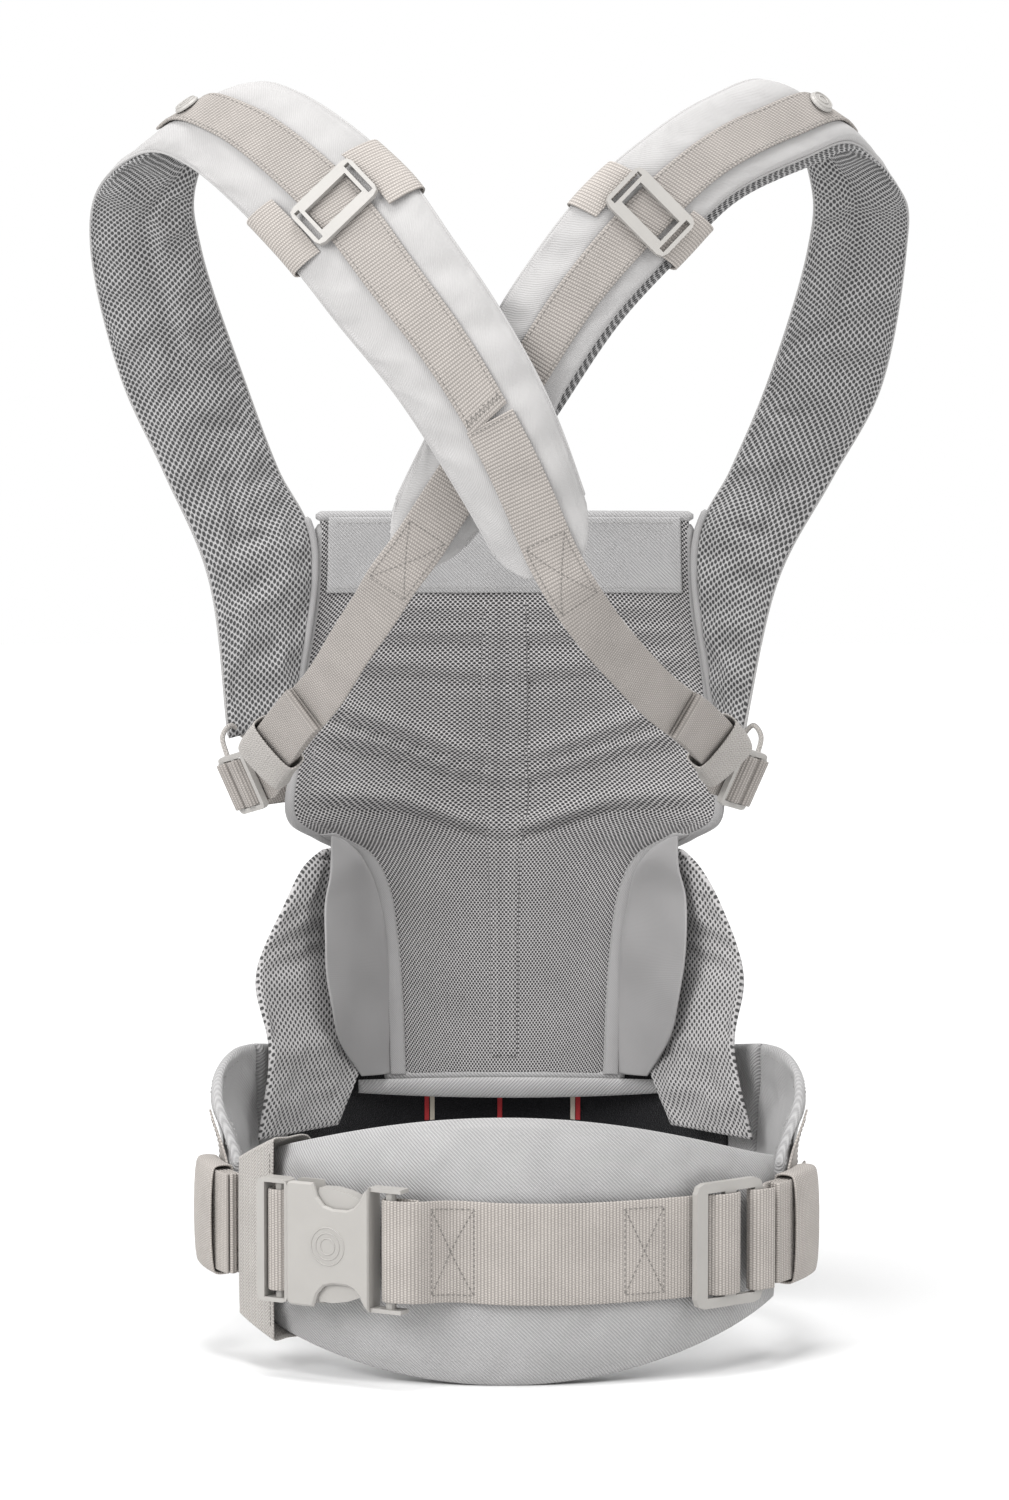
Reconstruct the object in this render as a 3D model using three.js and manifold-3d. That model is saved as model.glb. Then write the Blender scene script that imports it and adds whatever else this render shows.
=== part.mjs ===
// A soft baby carrier, worn: waist loop, front panel and shoulder straps crossed at the back.
// Millimetres. +Z is up, +Y points from the wearer's back to the front, +X to the wearer's right
// as seen from behind. The origin is the middle of the waist loop, at the height of its webbing.

import * as THREE from 'three';
import { mergeVertices } from 'three/addons/utils/BufferGeometryUtils.js';
import Module from 'manifold-3d';

const wasm = await Module();
wasm.setup();

// ---------------------------------------------------------------- driving dimensions

const GAP = 0.35;                    // clearance between touching pieces
const WAIST_WEB = 50;                // waist webbing width
const SHOULDER_WEB = 25;             // shoulder webbing width
const WEB = 1.5;                     // webbing thickness
const WAIST_LEFT = 147;              // waist loop, half width on the -X side, to the webbing's mid-line
const WAIST_RIGHT = 151;             // waist loop, half width on the +X side
const WAIST_BACK = 128;              // waist loop, depth behind the origin
const WAIST_FRONT = 147;             // waist loop, depth in front of the origin

const PAD_FOAM = 4;                  // shoulder pad: half of the foam core
const PAD_COVER = 1.2;               // shoulder pad: outer fabric
const PAD_LINER = 2.5;               // shoulder pad: spacer mesh against the wearer

const LUMBAR_THICK = 15;             // lumbar pad thickness
const LUMBAR_TOP = 66;               // lumbar pad height above the webbing's mid-line
const LUMBAR_DROP = 66;              // lumbar pad depth below it
const BELT_THICK = 10;               // padded waist belt thickness

const BUCKLE_TURN = -29;             // turn of the waist buckle about Z, degrees
const BUCKLE_RISE = 3;               // height of the waist buckle's middle above the origin
const TRIGLIDE_TURN = 38;            // turn of the triglide about Z, degrees
const PRONG_THICK = 7.4;             // thickness of the buckle's two sprung prongs

const COLOURS = {
  fabric: [0.80, 0.80, 0.80, 0.9],
  mesh: [0.55, 0.55, 0.56, 0.95],
  satin: [0.66, 0.66, 0.67, 0.6],
  webbing: [0.72, 0.70, 0.67, 0.85],
  elastic: [0.74, 0.71, 0.68, 0.9],
  plastic: [0.76, 0.74, 0.72, 0.5],
  hook: [0.03, 0.03, 0.035, 0.95],
};

const carrier = new THREE.Group();

// ---------------------------------------------------------------- helpers

const vec = (x, y, z) => new THREE.Vector3(x, y, z);
const lerp = THREE.MathUtils.lerp;
const radians = THREE.MathUtils.degToRad;

function addPiece(name, geometry, kind) {
  const [red, green, blue, roughness] = COLOURS[kind];
  const material = new THREE.MeshStandardMaterial({
    color: new THREE.Color(red, green, blue), roughness, metalness: 0,
  });
  const mesh = new THREE.Mesh(geometry, material);
  mesh.name = name;
  carrier.add(mesh);
  return mesh;
}

// Turns a triangle list the right way out, from the sign of its volume.
function closedGeometry(points, triangles) {
  let volume = 0;
  for (const [a, b, c] of triangles) {
    volume += points[a].dot(vec(0, 0, 0).crossVectors(points[b], points[c]));
  }
  const index = triangles.flatMap(([a, b, c]) => (volume > 0 ? [a, b, c] : [a, c, b]));
  const geometry = new THREE.BufferGeometry();
  geometry.setAttribute('position', new THREE.Float32BufferAttribute(
    points.flatMap((p) => p.toArray()), 3));
  geometry.setIndex(index);
  geometry.computeVertexNormals();
  return geometry;
}

// A closed solid between two offsets of surface(u, v), both parameters running 0 to 1.
// low and high are distances along the surface's normal, numbers or functions of (u, v).
function slab(surface, columns, rows, low, high) {
  const offset = (side, u, v) => (typeof side === 'function' ? side(u, v) : side);
  const step = 1e-3;
  const points = [];
  for (const side of [low, high]) {
    for (let j = 0; j <= rows; j++) {
      for (let i = 0; i <= columns; i++) {
        const u = i / columns;
        const v = j / rows;
        const along = surface(Math.min(u + step, 1), v).sub(surface(Math.max(u - step, 0), v));
        const across = surface(u, Math.min(v + step, 1)).sub(surface(u, Math.max(v - step, 0)));
        const normal = along.cross(across).normalize();
        points.push(surface(u, v).addScaledVector(normal, offset(side, u, v)));
      }
    }
  }
  const line = columns + 1;
  const layer = line * (rows + 1);
  const triangles = [];
  const quad = (a, b, c, d) => triangles.push([a, b, c], [a, c, d]);
  for (let j = 0; j < rows; j++) {
    for (let i = 0; i < columns; i++) {
      const k = j * line + i;
      quad(k, k + line, k + line + 1, k + 1);
      quad(layer + k, layer + k + 1, layer + k + line + 1, layer + k + line);
    }
  }
  for (let i = 0; i < columns; i++) {
    const top = rows * line + i;
    quad(i, i + 1, layer + i + 1, layer + i);
    quad(top, layer + top, layer + top + 1, top + 1);
  }
  for (let j = 0; j < rows; j++) {
    const left = j * line;
    const right = left + columns;
    quad(left, layer + left, layer + left + line, left + line);
    quad(right, right + line, layer + right + line, layer + right);
  }
  return closedGeometry(points, triangles);
}

const curve = (list) => new THREE.CatmullRomCurve3(list.map((p) => vec(...p)), false, 'centripetal');

// A surface stretched between two edge curves: u along them, v from the first to the second.
function between(first, second) {
  return (u, v) => first.getPoint(u).lerp(second.getPoint(u), v);
}

// A flat webbing along a route of [point, outward direction] stations. A station may also give the
// direction across the webbing, which holds where it turns back on itself.
function ribbon(stations, width) {
  const centre = curve(stations.map(([point]) => point));
  const sides = curve(stations.map(([, outward, across], k) => {
    if (across) {
      return across;
    }
    const next = vec(...stations[Math.min(k + 1, stations.length - 1)][0]);
    const previous = vec(...stations[Math.max(k - 1, 0)][0]);
    return vec(...outward).cross(next.sub(previous)).normalize().toArray();
  }));
  return (u, v) => {
    const side = sides.getPoint(u).normalize();
    return centre.getPoint(u).addScaledVector(side, (v - 0.5) * width);
  };
}

function normalAt(surface, u, v) {
  const step = 1e-3;
  const along = surface(u + step, v).sub(surface(u - step, v));
  return along.cross(surface(u, v + step).sub(surface(u, v - step))).normalize();
}

// A band wrapped around a surface between u0 and u1. Its path gives [v, distance outward] stations.
function wrapped(surface, u0, u1, path) {
  const section = curve(path.map(([v, distance]) => [v, distance, 0]));
  return (u, s) => {
    const place = lerp(u0, u1, u);
    const station = section.getPoint(s);
    const normal = normalAt(surface, place, station.x);
    return surface(place, station.x).addScaledVector(normal, station.y);
  };
}

// The section of an elastic band around a webbing and what lies on it, open on the inside.
const keeperPath = (inside, outside, margin) => [
  [0.3, -inside], [-margin * 0.4, -inside], [-margin, -inside * 0.3], [-margin, outside * 0.8],
  [margin * 0.2, outside], [1 - margin * 0.2, outside], [1 + margin, outside * 0.8],
  [1 + margin, -inside * 0.3], [1 + margin * 0.4, -inside], [0.7, -inside],
];

// A wall standing along a route of points, as wide as given, with the route along its middle.
function wall(route, width) {
  const line = curve(route);
  return (u, v) => line.getPoint(u).add(vec(0, 0, (v - 0.5) * width));
}

function toManifold(geometry) {
  const bare = geometry.clone();
  bare.deleteAttribute('normal');
  bare.deleteAttribute('uv');
  const merged = mergeVertices(bare, 1e-4);
  return new wasm.Manifold(new wasm.Mesh({
    numProp: 3,
    vertProperties: merged.attributes.position.array,
    triVerts: new Uint32Array(merged.index.array),
  }));
}

function toGeometry(solid) {
  const mesh = solid.getMesh();
  const geometry = new THREE.BufferGeometry();
  geometry.setAttribute('position', new THREE.Float32BufferAttribute(mesh.vertProperties, 3));
  geometry.setIndex(Array.from(mesh.triVerts));
  return geometry;
}

function joined(geometries) {
  return toGeometry(geometries.map(toManifold).reduce((whole, next) => whole.add(next)));
}

// A block given by its low and high corners.
function block([x0, y0, z0], [x1, y1, z1]) {
  const geometry = new THREE.BoxGeometry(x1 - x0, y1 - y0, z1 - z0);
  return geometry.translate((x0 + x1) / 2, (y0 + y1) / 2, (z0 + z1) / 2);
}

// A flat plate drawn in X and Z, as thick as given along Y, centred on y = 0.
function plate(shape, thickness, bevel = 0) {
  const geometry = new THREE.ExtrudeGeometry(shape, {
    depth: thickness - 2 * bevel,
    bevelEnabled: bevel > 0,
    bevelThickness: bevel,
    bevelSize: bevel,
    bevelOffset: -bevel,
    bevelSegments: 1,
    curveSegments: 3,
  });
  return geometry.translate(0, 0, bevel - thickness / 2).rotateX(Math.PI / 2);
}

// Corner points of a rectangle whose corners are rounded by two chords each.
function roundedRectangle(x, z, width, height, radius) {
  const corners = [[x + width, z, -90], [x + width, z + height, 0], [x, z + height, 90], [x, z, 180]];
  return corners.flatMap(([cornerX, cornerZ, start]) => {
    const diagonal = radians(start + 45);
    const reach = radius * Math.SQRT2;
    return [0, 45, 90].map((turn) => {
      const angle = radians(start + turn);
      return new THREE.Vector2(cornerX - reach * Math.cos(diagonal) + radius * Math.cos(angle),
        cornerZ - reach * Math.sin(diagonal) + radius * Math.sin(angle));
    });
  });
}

// A frame with slots: the outline and each slot are [x, z, width, height].
function slottedFrame(outline, slots, corner, thickness) {
  let solid = toManifold(plate(new THREE.Shape(roundedRectangle(...outline, corner)), thickness));
  for (const [x, z, width, height] of slots) {
    solid = solid.subtract(toManifold(block([x, -thickness, z], [x + width, thickness, z + height])));
  }
  return toGeometry(solid);
}

// A seat for hardware: local X across the webbing, local Z along it, local -Y outward.
class Seat {
  constructor(centre, outward, along) {
    this.along = along.clone().normalize();
    this.across = this.along.clone().cross(outward).normalize();
    this.inward = this.along.clone().cross(this.across);
    this.matrix = new THREE.Matrix4().makeBasis(this.across, this.inward, this.along).setPosition(centre);
  }

  place(geometry) {
    return geometry.applyMatrix4(this.matrix);
  }

  station(inward, along, facing) {
    const point = vec(0, inward, along).applyMatrix4(this.matrix);
    const across = this.across.clone().multiplyScalar(facing);
    return [point.toArray(), this.inward.clone().negate().toArray(), across.toArray()];
  }
}

// ---------------------------------------------------------------- waist loop

// A point of the waist loop in plan; turn is 0 at the back and 90 degrees at the +X side.
function waistPoint(turn, offset, z) {
  const sine = Math.sin(radians(turn));
  const cosine = Math.cos(radians(turn));
  const reach = sine > 0 ? WAIST_RIGHT : WAIST_LEFT;
  const depth = cosine > 0 ? WAIST_BACK : WAIST_FRONT;
  const outward = vec(sine / reach, -cosine / depth, 0).normalize();
  return vec(reach * sine, -depth * cosine, z).addScaledVector(outward, offset);
}

// A surface around the loop between two turns; low and high edges are functions of the turn.
function waistSurface(from, to, offset, low, high) {
  return (u, v) => {
    const turn = lerp(from, to, u);
    return waistPoint(turn, offset, lerp(low(turn), high(turn), v));
  };
}

const crown = (height, slope) => (turn) => height - slope * waistPoint(turn, 0, 0).x ** 2;
const level = (z) => () => z;

function buildLumbarPad() {
  const corner = (turn) => 9 * Math.max(0, (-turn - 52) / 10) ** 2;
  const top = (turn) => crown(LUMBAR_TOP, 0.00158)(turn) - corner(turn);
  const bottom = (turn) => crown(-LUMBAR_DROP, -0.0014)(turn) + corner(turn);
  const middle = -3 - LUMBAR_THICK / 2;
  const bulge = (u, v) => 0.35 + 0.65 * Math.min(1, 5 * v * (1 - v)) * Math.min(1, 12 * u * (1 - u));
  const half = LUMBAR_THICK / 2;
  addPiece('lumbar_pad', slab(waistSurface(-62, 71, middle, bottom, top), 20, 6,
    (u, v) => -half * bulge(u, v) + 2, (u, v) => half * bulge(u, v)), 'fabric');
  const inset = (edge, margin) => (turn) => edge(turn) + margin;
  addPiece('lumbar_lining', slab(
    waistSurface(-61, 70, middle - half - 1.4, inset(bottom, 3), inset(top, -3)), 20, 3,
    -1.5, 0.9), 'mesh');
}

const FLARE_START = 112;             // where the wings leave the front of the belt, degrees

// How far a wing leans outward at a height above the webbing.
function flare(turn, z) {
  const away = Math.min(1, (FLARE_START - Math.abs(turn)) / 20);
  return 6 * away * THREE.MathUtils.smoothstep(z, 30, 58);
}

function buildBelt() {
  const far = 180;
  const start = FLARE_START;
  const topEdge = (turn) => lerp(76, 60, (Math.abs(turn) - start) / (far - start));
  const bottomEdge = (turn) => lerp(-28, -50, (Math.abs(turn) - start) / (far - start));
  const middle = -9;
  addPiece('belt_front', slab(
    (u, v) => {
      const turn = lerp(start, 360 - start, u);
      const side = turn > far ? 360 - turn : turn;
      return waistPoint(turn, middle, lerp(bottomEdge(side), topEdge(side), v));
    }, 20, 2, -BELT_THICK / 2, BELT_THICK / 2), 'fabric');
  addPiece('belt_hook_band', slab(
    waistSurface(122, 238, middle - BELT_THICK / 2 - 1.6, level(-20), level(57)), 16, 1,
    -0.6, 0.6), 'hook');
}

function buildWing(name, side) {
  const top = curve([[112, 76, 0], [104, 76, 0], [95, 70, 0], [86, 58, 0], [79, 40, 0], [74, 29, 0]]);
  const low = curve([[112, -28, 0], [104, -27, 0], [95, -25, 0], [86, -24, 0], [79, -23, 0], [74, -22, 0]]);
  const surface = (u, v) => {
    const upper = top.getPoint(u);
    const lower = low.getPoint(u);
    const turn = lerp(lower.x, upper.x, v) - 0.4;
    const z = lerp(lower.y, upper.y, v);
    return waistPoint(side * turn, -9 + flare(turn, z), z);
  };
  addPiece(`belt_wing_${name}`, slab(surface, 10, 3, -3.5, 3.5), 'fabric');
  const tip = (u, v) => {
    const turn = lerp(74, 86, u);
    const z = lerp(-20, lerp(26, 52, u), v);
    return waistPoint(side * turn, flare(turn, z) - 4.1, z);
  };
  addPiece(`wing_tip_${name}`, slab(tip, 5, 3, -0.6, 0.6), 'webbing');
}

// ---------------------------------------------------------------- waist hardware

// A frame of reference on the waist loop: local X along the webbing, local -Y outward.
class Station {
  constructor(x, y, z, turn) {
    this.x = x;
    this.y = y;
    this.z = z;
    this.turn = radians(turn);
  }

  place(geometry) {
    return geometry.rotateZ(this.turn).translate(this.x, this.y, this.z);
  }

  point([x, y]) {
    const cosine = Math.cos(this.turn);
    const sine = Math.sin(this.turn);
    return [this.x + x * cosine - y * sine, this.y + x * sine + y * cosine, this.z];
  }
}

const buckle = new Station(-80, -116.5, BUCKLE_RISE, BUCKLE_TURN);
const triglide = new Station(109, -94.5, 0, TRIGLIDE_TURN);

const BUCKLE = {
  half: 30.5,           // half height of the plates
  mouth: -26.5,         // where the male half goes in
  neck: 18.5,           // half height of the plates at their waist
  wall: 16.4,           // end wall of the cavity
  plateEnd: 19.6,
  bar: 29,              // bar that the lumbar webbing turns around
  barRadius: 2.6,
  earEnd: 36.5,
  thick: 13,
  cavity: 8.4,
};

function buildFemale() {
  const { half, mouth, neck, wall: inner, plateEnd, bar, barRadius, earEnd, thick, cavity } = BUCKLE;
  const outline = new THREE.Shape();
  outline.moveTo(mouth + 3, -half);
  outline.lineTo(mouth + 15, -half);
  outline.quadraticCurveTo(mouth + 18, -neck, mouth + 26, -neck);
  outline.lineTo(mouth + 34, -neck);
  outline.quadraticCurveTo(mouth + 40, -neck - 1, plateEnd - 3, -half + 3);
  outline.lineTo(plateEnd, -half);
  outline.lineTo(plateEnd, half);
  outline.lineTo(plateEnd - 3, half - 3);
  outline.quadraticCurveTo(mouth + 40, neck + 1, mouth + 34, neck);
  outline.lineTo(mouth + 26, neck);
  outline.quadraticCurveTo(mouth + 18, neck, mouth + 15, half);
  outline.lineTo(mouth + 3, half);
  outline.quadraticCurveTo(mouth, half, mouth, half - 4);
  outline.lineTo(mouth, -half + 4);
  outline.quadraticCurveTo(mouth, -half, mouth + 3, -half);
  const body = toManifold(plate(outline, thick, 1));
  const hollow = toManifold(block([mouth - 1, -cavity / 2, -half - 1], [inner, cavity / 2, half + 1]));
  const ears = [-1, 1].map((side) => block(
    [plateEnd - 1, -4, side > 0 ? half - 2 : -half], [earEnd, 4, side > 0 ? half : 2 - half]));
  const rod = new THREE.CylinderGeometry(barRadius, barRadius, 2 * half - 2, 10)
    .rotateX(Math.PI / 2).translate(bar, 0, 0);
  const whole = ears.concat(rod).map(toManifold).reduce((sum, next) => sum.add(next), body.subtract(hollow));
  addPiece('waist_buckle_female', buckle.place(toGeometry(whole)), 'plastic');
}

const MALE = {
  half: 30.5,
  slotHalf: 28.4,
  shoulder: -26.9,      // where the male half stops against the mouth
  outerBar: -44.2,
  innerBar: -33.2,
  innerRadius: 2.4,
  slot: [-40, 11.4],    // start and width of the slot that holds the inner bar
  thick: 9,
  pivotX: -19,          // where each prong bends
  pivotZ: 19,
  tongueEnd: 6,
};

function buildMale() {
  const { half, slotHalf, shoulder, outerBar, innerBar, innerRadius, slot, thick, pivotX, pivotZ } = MALE;
  const frame = slottedFrame([outerBar, -half, shoulder - outerBar, 2 * half],
    [[slot[0], -slotHalf, slot[1], 2 * slotHalf]], 3, thick);
  const bar = new THREE.CylinderGeometry(innerRadius, innerRadius, 2 * half - 2, 10)
    .rotateX(Math.PI / 2).translate(innerBar, 0, 0);
  const tongue = block([shoulder - 1, -1.5, -6], [MALE.tongueEnd, 1.5, 6]);
  const roots = [-1, 1].map((side) => block(
    [shoulder - 1, -3.7, side * pivotZ - 3], [pivotX - 3.4, 3.7, side * pivotZ + 3]));
  addPiece('waist_buckle_male', buckle.place(joined([frame, bar, tongue, ...roots])), 'plastic');
}

// One prong: an arm from its bending point, with the thumb pad that shows in the side window.
function buildProng(name, side) {
  const shape = new THREE.Shape();
  const z = (value) => side * value;
  shape.moveTo(-22, z(16.4));
  shape.lineTo(13, z(17));
  shape.quadraticCurveTo(15, z(17), 15, z(19));
  shape.lineTo(14, z(24));
  shape.quadraticCurveTo(2, z(29.4), -9, z(28));
  shape.lineTo(-11, z(21.6));
  shape.lineTo(-22, z(21.6));
  shape.closePath();
  addPiece(name, buckle.place(plate(shape, PRONG_THICK)), 'plastic');
}

const TRIGLIDE = { half: 31, left: -21, right: 21, thick: 3.6 };

function buildTriglide() {
  const { half, left, right, thick } = TRIGLIDE;
  const slots = [[left + 7, -26, 11, 52], [4, -26, 12, 52]];
  const frame = slottedFrame([left, -half, right - left, 2 * half], slots, 5, thick);
  addPiece('triglide', triglide.place(frame), 'plastic');
}

function buildWaistWebbing() {
  const around = (turn, z = 0) => waistPoint(turn, 0, z).toArray();
  const lumbar = [
    [42, 4.1], [35, 4.2], [29, 3.7], [25.6, 1.6], [25.3, -1.2], [28, -3.7], [35, -3.2], [42, -0.8],
  ].map((p) => buckle.point(p)).concat([around(-10, 1.6), around(0, 0.6), around(12), around(24)], [
    [-24, 4.4], [-16, 3.6], [-11, 1], [-7, -2.4], [-2, -3.6], [3, -3.4], [6.4, -0.6], [5, 2.6], [0, 3.6],
  ].map((p) => triglide.point(p)));
  addPiece('lumbar_webbing', slab(wall(lumbar, WAIST_WEB), 44, 1, -WEB / 2, WEB / 2), 'webbing');

  const left = [
    [-33.2, 4.4], [-30.5, 2.6], [-29.7, 0], [-30.5, -2.6], [-33.2, -3.6], [-36, -2.8],
    [-37.9, 0.8], [-38.4, 4.6], [-39.4, 8.6],
  ].map((p) => buckle.point(p));
  left.push(...[-49, -54, -60, -66, -76, -88].map((turn) => around(turn, BUCKLE_RISE)));
  addPiece('waist_webbing_left', slab(wall(left, WAIST_WEB), 40, 1, -WEB / 2, WEB / 2), 'webbing');

  const right = [
    [27, -3.6], [22, -3.9], [17, -3.7], [14, -1.2], [15, 2.4], [19, 3.6], [25, 3.4],
  ].map((p) => triglide.point(p)).concat([around(58), around(66), around(76), around(88)]);
  addPiece('waist_webbing_right', slab(wall(right, WAIST_WEB), 32, 1, -WEB / 2, WEB / 2), 'webbing');
}

// The rolled end of the waist webbing and the elastic band that holds it, at one side.
function buildWaistTail(name, [from, to], [bandFrom, bandTo], rise) {
  const surface = waistSurface(from, to, 0, level(rise - WAIST_WEB / 2), level(rise + WAIST_WEB / 2));
  addPiece(`waist_tail_${name}`, slab(surface, 6, 1, 1.3, 7), 'webbing');
  const share = (turn) => (turn - from) / (to - from);
  const band = wrapped(surface, share(bandFrom), share(bandTo), keeperPath(1.9, 8.2, 0.035));
  addPiece(`waist_keeper_${name}`, slab(band, 3, 9, -0.5, 0.5), 'elastic');
}

function buildLumbarBand() {
  const [from, to] = [-61.5, -49.5];
  const low = (turn) => lerp(-38.5, -47, (turn - from) / (to - from));
  const high = (turn) => lerp(34, 46, (turn - from) / (to - from));
  const surface = waistSurface(from, to, 0, low, high);
  addPiece('lumbar_band', slab(wrapped(surface, 0, 1, keeperPath(22.6, 1.8, 0.035)),
    2, 9, -0.5, 0.5), 'elastic');
}

// ---------------------------------------------------------------- front panel

// Rows of the panel from its bottom to its top: half width, height, depth, and how far its side
// edges come back towards the wearer.
const PANEL_ROWS = [
  [60, 50, 113, 4], [62, 90, 124, 8], [65, 122, 134, 12], [70, 148, 141, 18], [80, 166, 145, 28],
  [98, 178, 146, 46], [110, 188, 146, 58], [107, 222, 141, 42], [104, 257, 131, 23], [97, 298, 121, 11],
  [95, 342, 115, 7],
];
const panelShape = curve(PANEL_ROWS.map(([halfWidth, z, y]) => [halfWidth, y, z]));
const panelReturn = curve(PANEL_ROWS.map(([, z, , back]) => [back, 0, z]));

// u runs from -X to +X, so the normal points at the wearer; v runs from bottom to top.
function panel(u, v) {
  const row = panelShape.getPoint(v);
  const across = 2 * u - 1;
  return vec(row.x * across, row.y - panelReturn.getPoint(v).x * across ** 2, row.z);
}

const panelPart = (u0, u1, v0, v1) => (u, v) => panel(lerp(u0, u1, u), lerp(v0, v1, v));
const BAND_START = 0.91;             // where the plain band at the panel's top begins

function buildPanel() {
  addPiece('panel_liner', slab(panelPart(0, 1, 0, 1), 12, 16, 0.2, 3.2), 'mesh');
  addPiece('panel_shell', slab(panelPart(0, 1, 0, 1), 12, 16, -2.2, -0.2), 'fabric');
  addPiece('panel_centre_tape', slab(panelPart(0.44, 0.56, 0.02, BAND_START - 0.01), 2, 16, 4, 4.9), 'mesh');
  addPiece('neck_band', slab(panelPart(0.02, 0.98, BAND_START, 1), 12, 2, 3.7, 5.2), 'satin');
  addPiece('seat_hem', slab((u, v) => vec(lerp(72, -72, u), 110 - 9 * (2 * u - 1) ** 2, lerp(38, 49, v)),
    12, 1, -1.6, 1.6), 'fabric');
}

// The padded flap that folds up behind the child's head, folded down on the outside.
function buildHeadFlap() {
  addPiece('head_flap', slab(panelPart(0.06, 0.94, 0.86, 1), 10, 3, -8.8, -2.8), 'fabric');
}

// Outer edges of the thigh pads, which hang a little differently on the two sides.
const THIGH_OUTER = {
  left: [[-93, 88, 171], [-103, 84, 163], [-113, 74, 144], [-127, 60, 109], [-120, 46, 73], [-125, 26, 30]],
  right: [[91, 88, 171], [100, 84, 163], [111, 74, 144], [122, 60, 110], [117, 46, 75], [126, 26, 30]],
};

function buildThighPad(name, side) {
  const outer = curve(THIGH_OUTER[name]);
  const mirrored = (list) => curve(list.map(([x, y, z]) => [side * x, y, z]));
  const inner = mirrored([
    [86, 96, 172], [78, 104, 160], [74, 111, 145], [73, 111, 108], [72, 97, 68], [86, 72, 30],
  ]);
  const half = (u, v) => 1.6 + 2.6 * Math.min(1, 6 * u * (1 - u)) * Math.min(1, 5 * v * (1 - v));
  addPiece(`thigh_pad_${name}`, slab(between(outer, inner), 14, 4,
    (u, v) => -half(u, v), half), 'mesh');
  const pleatOuter = mirrored([
    [89, 81, 179], [89, 78, 162], [93, 76, 147], [93, 69, 120], [87, 72, 78], [75, 86, 61],
  ]);
  const pleatInner = mirrored([
    [84, 90, 176], [75, 99, 166], [70, 108, 150], [66, 106, 112], [65, 104, 82], [64, 98, 60],
  ]);
  addPiece(`gusset_${name}`, slab(between(pleatOuter, pleatInner), 12, 3, -0.9, 0.9), 'satin');
}

// ---------------------------------------------------------------- shoulder straps

// Each strap runs from the panel's top corner over the shoulder and down the back. Its stations
// give the arm-side edge and the neck-side edge. The left strap crosses over the right one.
const STRAPS = {
  left: {
    side: -1,
    arm: [
      [-142, 78, 239], [-152, 95, 312], [-175, 100, 366], [-196, 98, 413], [-209, 65, 480], [-203, 35, 511],
      [-175, -8, 530], [-154, -27, 523], [-109, -68, 483], [-79, -90, 447], [-50, -106, 412],
      [-21, -116, 367], [5, -118, 321],
    ],
    neck: [
      [-109, 103, 247], [-100, 106, 330], [-117, 105, 366], [-133, 97, 410], [-154, 62, 480], [-155, 30, 513],
      [-125, -18, 562], [-100, -38, 558], [-50, -74, 521], [-25, -94, 488], [0, -108, 451], [22, -118, 410],
      [47, -118, 341],
    ],
    web: [0.32, 0.7], webStart: 0.472, seam: 0.885, slider: 0.667, stud: 0.496, tail: [0.475, 0.56, 0.635],
    free: [
      [[33, -125, 320], [0, -1, 0]], [[45, -113, 302], [0.3, -0.95, 0]], [[59, -90, 284], [0.4, -0.9, 0]],
      [[76, -56, 264], [0.5, -0.85, -0.1]], [[92, -22, 249], [0.55, -0.8, -0.2]],
      [[102, 0, 238], [0.58, -0.7, -0.35]], [[109, 17, 227], [0.6, -0.7, -0.35]],
    ],
  },
  right: {
    side: 1,
    arm: [
      [122, 84, 239], [141, 96, 312], [168, 100, 362], [192, 98, 407], [203, 65, 480], [200, 35, 507],
      [175, -8, 531], [152, -30, 524], [113, -58, 506], [86, -74, 480], [56, -86, 448], [26, -93, 404],
      [0, -95, 365], [-32, -96, 325],
    ],
    neck: [
      [109, 103, 247], [100, 106, 330], [117, 105, 366], [135, 97, 410], [154, 62, 480], [154, 30, 513],
      [128, -18, 564], [98, -38, 555], [68, -64, 536], [38, -80, 510], [8, -90, 471], [-15, -96, 433],
      [-38, -98, 392], [-61, -98, 345],
    ],
    web: [0.32, 0.72], webStart: 0.435, seam: 0.86, slider: 0.68, stud: 0.465, tail: [0.475, 0.56, 0.635],
    free: [
      [[-54, -105, 325], [0, -1, 0]], [[-63, -97, 310], [-0.3, -0.95, 0]], [[-74, -82, 293], [-0.4, -0.9, 0]],
      [[-88, -56, 269], [-0.5, -0.85, -0.1]], [[-101, -30, 252], [-0.55, -0.8, -0.2]],
      [[-111, -8, 238], [-0.58, -0.7, -0.35]], [[-118, 12, 227], [-0.6, -0.7, -0.35]],
    ],
  },
};

// The strap's surface with u along it; v goes from the arm edge to the neck edge on the -X side
// and the other way on the +X side, so the normal always points away from the wearer.
function strapSurface(strap) {
  const edges = [curve(strap.arm), curve(strap.neck)];
  if (strap.side > 0) {
    edges.reverse();
  }
  return between(...edges);
}

const padHalf = (v) => PAD_FOAM * Math.min(1, 4 * Math.min(v, 1 - v));
const STRAP_STEPS = 26;

function buildStrap(name, strap) {
  const surface = strapSurface(strap);
  const part = (v0, v1) => (u, v) => surface(u, lerp(v0, v1, v));
  const over = (u, v) => 1.3 * GAP + padHalf(v);
  const under = (u, v) => -GAP - padHalf(v);
  const core = (u, v) => Math.max(0.3, padHalf(lerp(0.06, 0.94, v)) - 2 * GAP);
  addPiece(`strap_cover_${name}`, slab(part(0, 1), STRAP_STEPS, 4,
    over, (u, v) => over(u, v) + PAD_COVER), 'fabric');
  addPiece(`strap_foam_${name}`, slab(part(0.06, 0.94), STRAP_STEPS, 4,
    (u, v) => -core(u, v), core), 'fabric');
  addPiece(`strap_liner_${name}`, slab(part(0, 1), STRAP_STEPS, 4,
    (u, v) => under(u, v) - PAD_LINER, under), 'mesh');
}

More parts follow.
